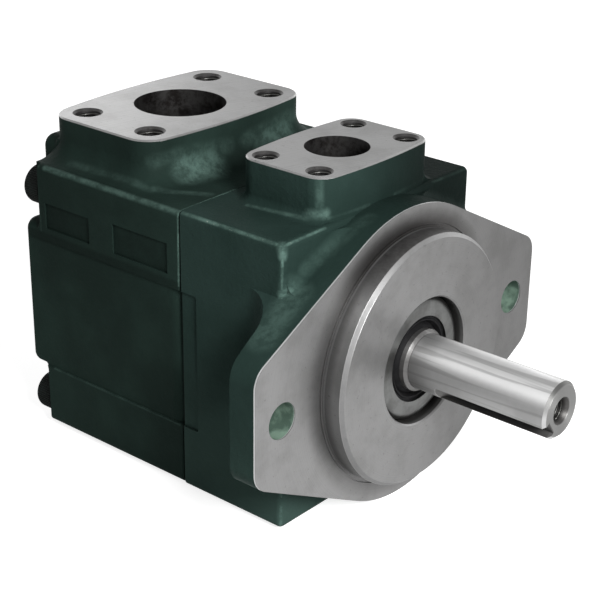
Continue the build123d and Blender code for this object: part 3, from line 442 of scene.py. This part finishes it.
# %% [markdown]
# On the front casting the flange face, the pilot and the recess are turned, and the
# flange's holes are painted inside. Shade is painted on the metal round the pilot's foot,
# on its side and on the recess wall, and the metal and the paint are painted darker towards
# the far side; the paint is painted lighter towards the bottom. The pilot's rim and the
# flange's edge are rubbed. Each mark could be painted by hand on a texture, but it
# has a known place, so masks from that place put it there at any resolution.

# %% Marks on the front casting
HALF_WIDTH = 57.3 * MM
PILOT_R = 50.8 * MM
PILOT_X = 9.5 * MM
PILOT_CHAMFER = 1.5 * MM
RECESS_R = 25.7 * MM
FLANGE_BOLT_Y = 73.0 * MM
FLANGE_BOLT_R = 7.15 * MM
FLANGE_THICKNESS = 12.0 * MM
BOLT_SEAT_R = 12.0 * MM


def flange_cuts(f):
    """Masks of the bolt seats behind the flange and of the painted walls of its holes."""
    away = f.away(f.size(f.y), FLANGE_BOLT_Y, f.z, 0.0)
    in_hole = f.step(away, FLANGE_BOLT_R + 0.2 * MM, FLANGE_BOLT_R + 0.05 * MM)
    seat_depth = f.size(f.math("ADD", f.x, FLANGE_THICKNESS))
    seats = f.both(f.step(away, BOLT_SEAT_R, BOLT_SEAT_R - 0.1 * MM), f.step(seat_depth, 0.4 * MM, 0.2 * MM))
    return seats, f.both(in_hole, f.step(f.x, -0.3 * MM, -0.7 * MM))


def painted_pilot_shade(f, around, face, flecks, upper):
    """Painted shade round the pilot's foot and on its side, strongest on the upper side, on the recess wall, and
    towards the far lobe.
    """
    on_face = f.step(f.x, 0.6 * MM, 0.2 * MM)
    foot = f.both(on_face, f.step(around, 65 * MM, 52 * MM), f.step(around, 50 * MM, 50.5 * MM))
    on_side = f.both(f.step(around, PILOT_R - 0.25 * MM, PILOT_R - 0.1 * MM), f.step(f.x, 0.9 * MM, 1.3 * MM))
    pilot_face = f.both(f.step(f.x, PILOT_X - 0.2 * MM, PILOT_X - 0.1 * MM), f.step(around, RECESS_R, RECESS_R + MM))
    wall = f.both(f.step(around, RECESS_R + 0.1 * MM, RECESS_R), f.step(f.x, PILOT_X - 0.5 * MM, PILOT_X - 3 * MM))
    far_lobe = f.step(f.y, -30 * MM, 75 * MM)
    return f.either(f.both(foot, f.spread(flecks, 0.50, 0.70), f.spread(upper, 0.80, 1.4)),
                    f.both(on_side, f.spread(f.step(f.x, 6.5 * MM, 2.0 * MM), 0.05, 0.50)),
                    f.both(on_side, upper, flecks),
                    f.both(pilot_face, f.spread(far_lobe, 0.20, 0.50)),
                    f.both(face, f.spread(far_lobe, 0.16, 0.48)),
                    f.math("MULTIPLY", wall, 0.8))


def front_marks(f):
    """What is bare or stained on the front casting, where its edges are scuffed, and where shade and light are
    painted on it.
    """
    around = f.away(f.y, 0.0, f.z, 0.0)
    face = f.step(f.x, -0.9 * MM, -0.6 * MM)
    recess = f.both(f.step(around, RECESS_R + 1.5 * MM, RECESS_R + MM), f.step(f.x, -32 * MM, -30 * MM))
    turned = f.either(face, recess)
    seats, painted_hole = flange_cuts(f)
    flecks = f.spread(f.noise(260, 4.0, 0.7), 0.45, 1.0)
    upper = f.step(f.z, 26 * MM, 50 * MM)
    rim_away = f.away(around, PILOT_R - PILOT_CHAMFER / 2, f.x, PILOT_X - PILOT_CHAMFER / 2)
    rim = f.both(f.step(rim_away, 1.15 * MM, 0.70 * MM), flecks)
    oil_and_shade = f.math("MINIMUM", painted_pilot_shade(f, around, face, flecks, upper), 0.9)
    edge = f.both(f.step(f.x, -0.12 * MM, -0.25 * MM), f.step(f.x, -1.4 * MM, -1.1 * MM),
                  f.step(around, 56 * MM, 57 * MM), f.spread(flecks, 0.4, 0.9))
    # Painted shade: the front casting's paint grows darker towards +Y, the far side.
    off_side = f.step(f.y, HALF_WIDTH - 0.6 * MM, HALF_WIDTH - 2 * MM)
    far_side_shade = f.both(f.spread(f.step(f.y, -34 * MM, 40 * MM), 0.0, 0.80), off_side)
    # The paint's lift towards the bottom is painted light from below.
    return {"bare": f.both(f.either(turned, seats), f.math("SUBTRACT", 1.0, painted_hole)),
            "turned": turned, "holes": painted_hole, "rim": f.both(rim, f.spread(upper, 1.0, 0.35)),
            "oil_and_shade": f.both(oil_and_shade, f.math("SUBTRACT", 1.0, rim)), "edge": edge, "dirt_and_shade": far_side_shade,
            "painted_light_below": f.math("MULTIPLY", f.step(f.z, 8 * MM, -45 * MM), 0.15)}


front_paint = casting_finish("front_casting_green", PRESSURE_PORT, FRONT_WEAR_AND_HIGHLIGHTS, FRONT_TONES, front_marks)
print("nodes in", front_paint.name, len(front_paint.node_tree.nodes))

# %% [markdown]
# The rear casting has no turned face that shows. Its bare places are the pad and the
# spot faces under the screw heads. The two small sunk fields on each side keep their dirt,
# which is what makes them readable, and a band of painted shade runs along the step below
# them. A darker paint all over would hide them, so only these places get it.

# %% Marks on the rear casting
SCREW_SEAT_X = -145.0 * MM
SCREW_Y = 48.5 * MM
SCREW_Z = 47.5 * MM
SCREW_DROP = 1.5 * MM
SPOT_FACE_R = 8.7 * MM
NOTHING = 0.0


def rear_marks(f):
    """Bare spot faces under the screw heads, dirt in the sunk fields on the sides, and painted shade along the step
    below them.
    """
    out = f.size(f.y)
    off_z = f.size(f.math("ADD", f.z, SCREW_DROP))
    away = f.away(out, SCREW_Y, off_z, SCREW_Z)
    seats = f.both(f.step(away, SPOT_FACE_R, SPOT_FACE_R - 0.2 * MM),
                   f.step(f.x, SCREW_SEAT_X + 1.2 * MM, SCREW_SEAT_X + 0.8 * MM))
    sunk = f.step(out, HALF_WIDTH - 0.35 * MM, HALF_WIDTH - 0.6 * MM)
    plates = f.both(sunk, f.step(f.z, 29 * MM, 31 * MM), f.step(f.z, 46 * MM, 44 * MM))
    side_face = f.step(out, HALF_WIDTH - MM, HALF_WIDTH - 0.5 * MM)
    # Painted shade in a band along the step below the sunk fields.
    ledge = f.both(side_face, f.step(f.z, 30.5 * MM, 28.5 * MM), f.step(f.z, 25.7 * MM, 26.2 * MM))
    dirt_and_shade = f.either(f.both(plates, f.spread(f.noise(180, 3.0), 0.15, 0.5)), f.math("MULTIPLY", ledge, 0.35))
    return {"bare": seats, "oil_and_shade": f.math("MULTIPLY", seats, 0.5), "dirt_and_shade": dirt_and_shade, "turned": NOTHING,
            "holes": NOTHING, "rim": NOTHING, "edge": NOTHING, "painted_light_below": NOTHING}


rear_paint = casting_finish("rear_casting_green", SUCTION_PORT, REAR_WEAR_AND_HIGHLIGHTS, REAR_TONES_SHADED, rear_marks)
print("nodes in", rear_paint.name, len(rear_paint.node_tree.nodes))

# %% [markdown]
# The shaft is ground and polished, and it is the brightest thing on the pump. A mirror
# would look like chrome, so fine lines run round it and spread each reflection along it.
# Lines round a shaft that lies on X are simply an uneven pattern along X. Oil is left on it
# in thin lengthwise smears. Its upper side has a painted highlight and its lower side
# painted shade. A painted dark reflection runs along its top edge, the end chamfer is
# painted light below and dark on top, and the keyway and the part beside the seal get
# painted shade.

# %% Ground and polished shaft
SHAFT_END_X = 70.3 * MM
SHAFT_CHAMFER = 1.3 * MM
SHAFT_TAP_R = 4.4 * MM
SHOULDER_X = 8.5 * MM
KEYWAY_END_X = 18 * MM
KEY_ANGLE = radians(215.6)
KEY_HALF_WIDTH = 3.175 * MM
KEY_FLOOR_R = 7.91 * MM
# The direction round the shaft along which the painted highlight and painted shade change.
LIGHT_SIDE_Y, LIGHT_SIDE_Z = 0.57, 0.82
STEEL_TONES = (shade(170, 170, 170), shade(156, 156, 156))
# The end chamfer painted light on its lower side and dark on its upper side.
CHAMFER_PAINTED_LIT_AND_SHADED = (shade(176, 176, 176), shade(100, 100, 99))
# A painted highlight for the upper side and painted shade for the lower side.
STEEL_PAINTED_HIGHLIGHT = shade(206, 206, 206)
STEEL_PAINTED_SHADE = shade(118, 118, 117)
STEEL_SMEARED = shade(110, 110, 109)
# A painted dark reflection along the shaft's top edge.
STEEL_PAINTED_DARK_EDGE = shade(84, 84, 83)
END_FACE = shade(122, 122, 121)
# Painted shade on the journal and beside the seal.
JOURNAL_PAINTED_SHADE = shade(92, 91, 90)
# Painted shade in the keyway.
KEYWAY_PAINTED_SHADE = shade(72, 71, 70)
END_HOLE = shade(86, 85, 84)


def keyway_mask(f, around):
    """Inside the keyway, whose middle lies at its own angle round the shaft."""
    lengthwise, crosswise = cos(KEY_ANGLE), sin(KEY_ANGLE)
    out = f.math("ADD", f.math("MULTIPLY", f.y, lengthwise), f.math("MULTIPLY", f.z, crosswise))
    across = f.math("SUBTRACT", f.math("MULTIPLY", f.z, lengthwise), f.math("MULTIPLY", f.y, crosswise))
    return f.both(f.step(f.size(across), KEY_HALF_WIDTH + 0.1 * MM, KEY_HALF_WIDTH),
                  f.step(f.x, KEYWAY_END_X, KEYWAY_END_X + MM),
                  f.step(out, KEY_FLOOR_R - 0.6 * MM, KEY_FLOOR_R - 0.3 * MM),
                  f.step(around, 11.05 * MM, 10.9 * MM))


def shaft_colour(f, around, haze, end, hole):
    """Steel with oily smears, a painted highlight on the upper side, painted shade on the lower side, in the keyway
    and beside the seal, and painted light and dark on the chamfer and the top edge.
    """
    chamfer_x = SHAFT_END_X - SHAFT_CHAMFER
    chamfer = f.both(f.step(f.x, chamfer_x - 0.2 * MM, chamfer_x + 0.1 * MM), f.step(around, 8.5 * MM, 9.0 * MM))
    # Painted shade beside the seal, growing towards the shoulder.
    shade_by_seal = f.step(f.x, SHOULDER_X + 13 * MM, SHOULDER_X + 2 * MM)
    journal_shade = f.either(f.step(f.x, SHOULDER_X + 1.2 * MM, SHOULDER_X + 0.8 * MM), f.math("MULTIPLY", shade_by_seal, 0.45))
    height = f.math("ADD", f.math("MULTIPLY", f.y, LIGHT_SIDE_Y), f.math("MULTIPLY", f.z, LIGHT_SIDE_Z))
    # A painted dark reflection along the top edge.
    painted_dark_edge = f.step(height, 10.5 * MM, 11.0 * MM)
    # A painted highlight on the upper side and painted shade on the lower side.
    lit_side = f.step(height, -5 * MM, 6 * MM)
    smears = f.noise(150, 3.0, 0.5, (0.04, 1.0, 1.0))
    dark_lines = f.both(f.step(smears, 0.44, 0.48), f.step(smears, 0.55, 0.51))
    colour = f.blend(haze, *STEEL_TONES)
    colour = f.blend(f.math("MULTIPLY", lit_side, 0.65), colour, STEEL_PAINTED_HIGHLIGHT)
    colour = f.blend(f.math("MULTIPLY", f.step(lit_side, 0.6, 0.0), 0.45), colour, STEEL_PAINTED_SHADE)
    colour = f.blend(f.math("MULTIPLY", dark_lines, 0.45), colour, STEEL_SMEARED)
    # Painted light on the chamfer's lower side and painted shade on its top.
    colour = f.blend(chamfer, colour, f.blend(f.step(f.z, 0.0, 7 * MM), *CHAMFER_PAINTED_LIT_AND_SHADED))
    colour = f.blend(end, colour, END_FACE)
    colour = f.blend(f.math("MULTIPLY", painted_dark_edge, 0.75), colour, STEEL_PAINTED_DARK_EDGE)
    colour = f.blend(f.math("MULTIPLY", journal_shade, 0.8), colour, JOURNAL_PAINTED_SHADE)
    # Painted shade in the keyway.
    colour = f.blend(f.math("MULTIPLY", keyway_mask(f, around), 0.8), colour, KEYWAY_PAINTED_SHADE)
    return f.blend(hole, colour, END_HOLE)


def shaft_finish():
    f = Finish("polished_shaft_steel")
    lines = f.lines(f.x, 5200, 3.0)
    haze = f.step(f.noise(45, 4.0, 0.6), 0.40, 0.70)
    around = f.away(f.y, 0.0, f.z, 0.0)
    end = f.step(f.x, SHAFT_END_X - 0.3 * MM, SHAFT_END_X - 0.1 * MM)
    hole = f.both(f.step(around, SHAFT_TAP_R + 1.1 * MM, SHAFT_TAP_R + 0.9 * MM), f.step(f.x, 40 * MM, 45 * MM))
    rough = f.math("ADD", f.spread(lines, 0.42, 0.50), f.spread(f.either(haze, end, hole), 0.0, 0.10))
    f.relief(lines, 0.02 * MM, 0.3)
    turn = f.add("ShaderNodeTangent")
    turn.direction_type = "RADIAL"
    turn.axis = "X"
    f.join(turn.outputs[0], f.shader.inputs["Tangent"])
    return f.finish(shaft_colour(f, around, haze, end, hole), rough, 1.0, anisotropic=0.6,
                    anisotropic_rotation=0.25)


polished_steel = shaft_finish()
print("nodes in", polished_steel.name, len(polished_steel.node_tree.nodes))

# %% [markdown]
# The screws are black oxide: almost no colour and a little oil sheen. The working parts
# inside are ground steel and turned bronze. The rubber parts are matt black with a bloom.
# One shared grey would look the same on a ball, a washer and a bronze plate, so each
# finish has a tree of its own.


# %% Finishes of the smaller parts
def black_oxide():
    f = Finish("black_oxide_screws")
    grain = f.noise(1500, 3.0)
    oily = f.step(f.noise(240, 3.0), 0.42, 0.62)
    f.relief(grain, 0.04 * MM, 0.5)
    colour = f.blend(oily, shade(14, 18, 16), shade(22, 27, 25))
    return f.finish(colour, f.spread(grain, 0.45, 0.62), 0.0, specular_ior_level=0.04)


def ground_metal(name, pale, dark, smoothest, roughest, per_metre):
    """Metal worked round the shaft axis: rings on its faces, lines round its rims."""
    f = Finish(name)
    rings = f.lines(f.away(f.y, 0.0, f.z, 0.0), per_metre)
    along = f.lines(f.x, per_metre)
    stain = f.step(f.noise(120, 4.0), 0.40, 0.66)
    f.relief(f.both(rings, along), 0.02 * MM, 0.5)
    rough = f.spread(f.math("ADD", rings, f.math("MULTIPLY", along, 0.2)), smoothest, roughest)
    return f.finish(f.blend(stain, pale, dark), rough, 1.0)


def rubber(name, tone, bloomed):
    f = Finish(name)
    bloom = f.step(f.noise(300, 4.0), 0.40, 0.70)
    grain = f.noise(2400, 2.0)
    f.relief(grain, 0.03 * MM, 0.6)
    return f.finish(f.blend(bloom, tone, bloomed), f.spread(grain, 0.50, 0.70), 0.0, specular_ior_level=0.08)


black_screw = black_oxide()
hard_steel = ground_metal("ground_hard_steel", shade(196, 196, 197), shade(166, 166, 166), 0.16, 0.34, 3800)
bright_ring = ground_metal("bearing_ring_steel", shade(210, 210, 212), shade(186, 186, 188), 0.12, 0.26, 5200)
ball_steel = ground_metal("bearing_ball_steel", shade(226, 226, 228), shade(206, 206, 208), 0.05, 0.12, 600)
bronze = ground_metal("turned_bronze", shade(196, 152, 92), shade(158, 116, 64), 0.24, 0.42, 2600)
spring_steel = ground_metal("dark_spring_steel", shade(84, 82, 80), shade(52, 51, 50), 0.30, 0.48, 1800)
pressed_steel = ground_metal("pressed_seal_case", shade(104, 105, 104), shade(84, 84, 83), 0.30, 0.46, 1400)
black_rubber = rubber("black_seal_rubber", shade(16, 16, 17), shade(24, 24, 25))
print("finishes made:", len(bpy.data.materials))

# %% [markdown]
# The record that came with the solids names a material slot for each of them. A list of
# object names would have to be kept in step with the solids by hand, so the slot picks
# the finish. Only the two castings share a slot and still need a finish each.

# %% Give every solid its finish
FINISH_OF_SLOT = {
    "polished_shaft": polished_steel,
    "black_screws": black_screw,
    "hard_steel": hard_steel,
    "bronze": bronze,
    "bearing_steel": bright_ring,
    "ball_steel": ball_steel,
    "spring_steel": spring_steel,
    "seal_case_steel": pressed_steel,
    "black_rubber": black_rubber,
}
FINISH_OF_CASTING = {"front_housing": front_paint, "rear_housing": rear_paint}
slot_of = {part["node"]: part["material_slot"] for part in frame["record"]["subparts"]}
for name, solid in solids.items():
    solid.data.materials.clear()
    solid.data.materials.append(FINISH_OF_CASTING.get(name) or FINISH_OF_SLOT[slot_of[name]])
print("dressed:", ", ".join(sorted(solids)[:6]), "and", len(solids) - 6, "more")

# %% [markdown]
# The tapped holes in the pads and in the shaft's end show their threads. A thread is one
# small triangle wound down the hole. The spin operator can wind a section and lower it a
# little at each step, which makes the whole helix in one call. Rings would be easier but
# would look stacked, and a bump pattern would vanish in the exported mesh.

# %% Wind a thread
STEPS_PER_TURN = 24
RIDGE_HALF_WIDTH = 0.44
RIDGE_HEIGHT = 0.42
RIDGE_BURIED = 0.06 * MM


def wind_thread(mesh, radius, depth, pitch, start):
    """Wind one ridge down -Z inside a hole whose mouth is at z = 0."""
    turns = depth / pitch
    half = RIDGE_HALF_WIDTH * pitch
    section = [mesh.verts.new((radius + RIDGE_BURIED, 0, -start + half)),
               mesh.verts.new((radius - RIDGE_HEIGHT * pitch, 0, -start)),
               mesh.verts.new((radius + RIDGE_BURIED, 0, -start - half))]
    sides = [mesh.edges.new((section[i], section[(i + 1) % 3])) for i in range(3)]
    wound = bmesh.ops.spin(
        mesh, geom=section + sides, cent=(0, 0, 0), axis=(0, 0, 1), dvec=(0, 0, -pitch / STEPS_PER_TURN),
        angle=2 * pi * turns, steps=int(turns * STEPS_PER_TURN), use_merge=False, use_normal_flip=False,
        use_duplicate=False)
    mesh.faces.new(section)
    mesh.faces.new([v for v in wound["geom_last"] if isinstance(v, bmesh.types.BMVert)])


print("a ridge stands", RIDGE_HEIGHT, "of the pitch into the hole")

# %% [markdown]
# The four holes of a pad are alike, and so are the four screws, so each form is made once
# and copied to its places. Linked copies would be four objects. One mesh for each set
# rides on its body as one piece, and it is named and dressed once.


# %% Copy a form to its places
def placed_copies(make, places, *sizes):
    """One mesh that holds the same form at several places."""
    whole = bmesh.new()
    for place in places:
        single = bmesh.new()
        make(single, *sizes)
        bmesh.ops.transform(single, matrix=place, verts=single.verts[:])
        data = bpy.data.meshes.new("single")
        single.to_mesh(data)
        single.free()
        whole.from_mesh(data)
        bpy.data.meshes.remove(data)
    return whole


def new_piece(name, mesh, body, material, smooth=True):
    """Turn a finished bmesh into a piece that rides on a body."""
    bmesh.ops.recalc_face_normals(mesh, faces=mesh.faces[:])
    data = bpy.data.meshes.new(name)
    mesh.to_mesh(data)
    mesh.free()
    data.polygons.foreach_set("use_smooth", [smooth] * len(data.polygons))
    piece = bpy.data.objects.new(name, data)
    bpy.context.scene.collection.objects.link(piece)
    data.materials.append(material)
    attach(piece, body)
    print(name, "triangles:", sum(len(p.vertices) - 2 for p in data.polygons))


def pad_taps(port):
    """Where the four tapped holes of a pad start."""
    return [Matrix.Translation((port["x"] + sx * port["bolt_x"], sy * port["bolt_y"], PAD_Z))
            for sx in (-1, 1) for sy in (-1, 1)]


print("tapped holes:", [len(pad_taps(port)) for port in (PRESSURE_PORT, SUCTION_PORT)])

# %% [markdown]
# Cut threads keep their cutting oil and lie in shade, so they are painted darker and duller
# than the pads round them, partly as painted shade. They could share the casting's finish,
# but its arcs and stains are made for wide faces and would break up on a ridge of half a
# millimetre. A plain oiled grey reads better.

# %% Threads in the pads and in the shaft's end
THREAD_TONES = (shade(84, 84, 82), shade(58, 58, 56))
PRESSURE_THREAD = {"depth": 17.5 * MM, "pitch": 1.5 * MM, "start": 1.6 * MM}
SUCTION_THREAD = {"depth": 21.0 * MM, "pitch": 1.75 * MM, "start": 1.7 * MM}
SHAFT_THREAD = {"depth": 20.0 * MM, "pitch": 1.5 * MM, "start": 2.6 * MM}


def tap_metal():
    """Oiled, shadowed steel for the cut threads."""
    f = Finish("cut_thread_metal")
    grain = f.noise(1300, 3.0)
    oily = f.step(f.noise(260, 3.0), 0.4, 0.65)
    f.relief(grain, 0.03 * MM, 0.5)
    return f.finish(f.blend(oily, *THREAD_TONES), f.spread(grain, 0.30, 0.46), 0.9)


cut_thread = tap_metal()
small_threads = placed_copies(wind_thread, pad_taps(PRESSURE_PORT), PRESSURE_PORT["tap"], *PRESSURE_THREAD.values())
new_piece("pressure_port_threads", small_threads, "casing", cut_thread)
large_threads = placed_copies(wind_thread, pad_taps(SUCTION_PORT), SUCTION_PORT["tap"], *SUCTION_THREAD.values())
new_piece("suction_port_threads", large_threads, "casing", cut_thread)

to_shaft_end = Matrix.Translation((SHAFT_END_X, 0, 0)) @ Matrix.Rotation(radians(90), 4, "Y")
end_thread = placed_copies(wind_thread, [to_shaft_end], SHAFT_TAP_R, *SHAFT_THREAD.values())
new_piece("shaft_end_thread", end_thread, "rotating_group", cut_thread)

# %% [markdown]
# The heads of the four screws are knurled. The ridges are too small for the solids. They
# could be a bump pattern, but the outline of a real head is toothed. A ring with a zigzag
# rim is bridged from two circles and extruded along the head, once for each screw.

# %% Knurl the screw heads
HEAD_R = 8.0 * MM
SLEEVE_WALL = 0.3 * MM
SLEEVE_START = 1.4 * MM
SLEEVE_HEIGHT = 7.6 * MM
KNURLS = 54
KNURL_RISE = 0.28 * MM


def knurled_sleeve(mesh):
    """A toothed ring that hugs a screw head, from z = 0 upwards."""
    outer = bmesh.ops.create_circle(mesh, cap_ends=False, radius=HEAD_R, segments=2 * KNURLS)["verts"]
    for crest in outer[1::2]:
        crest.co *= 1 + KNURL_RISE / HEAD_R
    bmesh.ops.create_circle(mesh, cap_ends=False, radius=HEAD_R - SLEEVE_WALL, segments=2 * KNURLS)
    ring = bmesh.ops.bridge_loops(mesh, edges=mesh.edges[:])["faces"]
    raised = bmesh.ops.extrude_face_region(mesh, geom=ring)["geom"]
    top = [v for v in raised if isinstance(v, bmesh.types.BMVert)]
    bmesh.ops.translate(mesh, verts=top, vec=(0, 0, SLEEVE_HEIGHT))


heads = [Matrix.Translation((SCREW_SEAT_X - SLEEVE_START, sy * SCREW_Y, sz * SCREW_Z - SCREW_DROP))
         @ Matrix.Rotation(radians(-90), 4, "Y") for sy in (-1, 1) for sz in (-1, 1)]
new_piece("screw_head_knurls", placed_copies(knurled_sleeve, heads), "casing", black_screw,
          smooth=False)

# %% [markdown]
# The pump stands on a pale floor in soft light. A white floor would throw so much light
# back that the dark sides turned grey, so this one is a middle grey that only looks white:
# the camera and the reflections see some light of its own on top, while the pump's
# shadow still falls on it. The far background is white in the same way.

# %% Floor
FLOOR_Z = box_of_solids[0][2] - 0.1 * MM
FLOOR_HALF = 4.0
FLOOR_TONES = ((0.62, 0.62, 0.62, 1.0), (0.58, 0.58, 0.58, 1.0))
WHITE = (1, 1, 1, 1)


def seen_directly(tree):
    """1 for what the camera, a reflection or a clear material sees, 0 for soft light."""
    rays = tree.nodes.new("ShaderNodeLightPath")
    seen = rays.outputs["Is Camera Ray"]
    for other in ("Is Glossy Ray", "Is Transmission Ray"):
        larger = tree.nodes.new("ShaderNodeMath")
        larger.operation = "MAXIMUM"
        tree.links.new(seen, larger.inputs[0])
        tree.links.new(rays.outputs[other], larger.inputs[1])
        seen = larger.outputs[0]
    return seen


def floor_finish():
    f = Finish("pale_studio_floor")
    far = f.step(f.away(f.x, 0.0, f.y, 0.0), 0.3, 1.6)
    f.join(f.both(seen_directly(f.tree), f.spread(far, 0.82, 1.0)), f.shader.inputs["Emission Strength"])
    f.shader.inputs["Emission Color"].default_value = WHITE
    return f.finish(f.blend(f.noise(9, 3.0), *FLOOR_TONES), 1.0, 0.0, specular_ior_level=0.0)


floor_mesh = bmesh.new()
bmesh.ops.create_grid(floor_mesh, x_segments=1, y_segments=1, size=FLOOR_HALF)
bmesh.ops.translate(floor_mesh, verts=floor_mesh.verts[:], vec=(0, 0, FLOOR_Z))
floor_data = bpy.data.meshes.new("floor")
floor_mesh.to_mesh(floor_data)
floor_mesh.free()
floor = bpy.data.objects.new("floor", floor_data)
bpy.context.scene.collection.objects.link(floor)
floor_data.materials.append(floor_finish())
print("floor at mm:", round(FLOOR_Z / MM, 2))

# %% [markdown]
# One close lamp beside the camera lights the flange and throws the shadow of the pressure
# pad back over the casting, as in the photograph. It fades quickly, so the back of the
# near side stays dark. Two large weak lamps light the sides that the photograph does not
# show. The white surround would light every side alike if it were bright for all, so only
# the camera and the reflections see it white, and it gives little light itself.

# %% Soft lamps and the surround
MIDDLE = (-0.05, 0.0, 0.0)
AMBIENT = 0.14


def soft_lamp(name, at, length, width, power):
    """A rectangle of soft light that looks at the middle of the pump."""
    lamp = bpy.data.lights.new(name, "AREA")
    lamp.shape = "RECTANGLE"
    lamp.size = length
    lamp.size_y = width
    lamp.energy = power
    holder = bpy.data.objects.new(name, lamp)
    bpy.context.scene.collection.objects.link(holder)
    holder.location = at
    holder.rotation_euler = (Vector(MIDDLE) - Vector(at)).to_track_quat("-Z", "Y").to_euler()


soft_lamp("key_lamp", at=(0.37, -0.22, 0.28), length=0.18, width=0.18, power=3.9)
soft_lamp("far_side_fill", at=(0.00, 1.35, 0.40), length=1.4, width=0.8, power=6.0)
soft_lamp("back_fill", at=(-1.30, 0.40, 0.40), length=1.2, width=0.8, power=6.0)

world = bpy.data.worlds.new("white_studio")
bpy.context.scene.world = world
world.use_nodes = True
sky = world.node_tree.nodes["Background"]
strength = world.node_tree.nodes.new("ShaderNodeMapRange")
strength.inputs["To Min"].default_value = AMBIENT
strength.inputs["To Max"].default_value = 1.0
world.node_tree.links.new(seen_directly(world.node_tree), strength.inputs["Value"])
world.node_tree.links.new(strength.outputs[0], sky.inputs["Strength"])
sky.inputs["Color"].default_value = WHITE
bpy.context.scene.view_settings.view_transform = "Standard"
print("lamps:", len(bpy.data.lights))

# %% [markdown]
# The camera stands where the photograph was taken from: beside the shaft end, a little
# above it, with a long lens. Its place was solved from the flange, the pilot, the port
# patterns and the shaft, whose real sizes are known, so it is set by angle and distance.

# %% Camera
AZIMUTH = radians(40.194)
ELEVATION = radians(24.12)
ROLL = radians(0.726)
DISTANCE = 610.946 * MM
SHIFT_RIGHT = -41.042 * MM
SHIFT_UP = 20.876 * MM
FOCAL_SHARE = 1576.845 / 600
SENSOR = 36.0
CLIP_START = 0.01

back = Vector((sin(AZIMUTH) * cos(ELEVATION), -cos(AZIMUTH) * cos(ELEVATION), sin(ELEVATION)))
level_right = Vector((cos(AZIMUTH), sin(AZIMUTH), 0))
level_up = back.cross(level_right)
right = cos(ROLL) * level_right + sin(ROLL) * level_up
up = -sin(ROLL) * level_right + cos(ROLL) * level_up
eye = DISTANCE * back + SHIFT_RIGHT * right + SHIFT_UP * up

camera_data = bpy.data.cameras.new("camera")
camera_data.sensor_width = SENSOR
camera_data.lens = FOCAL_SHARE * SENSOR
camera_data.clip_start = CLIP_START
camera = bpy.data.objects.new("camera", camera_data)
bpy.context.scene.collection.objects.link(camera)
camera.matrix_world = Matrix((
    (right.x, up.x, back.x, eye.x),
    (right.y, up.y, back.y, eye.y),
    (right.z, up.z, back.z, eye.z),
    (0, 0, 0, 1)))
bpy.context.scene.camera = camera
print("lens in mm:", round(camera_data.lens, 1), "camera at mm:", [round(v / MM) for v in eye])
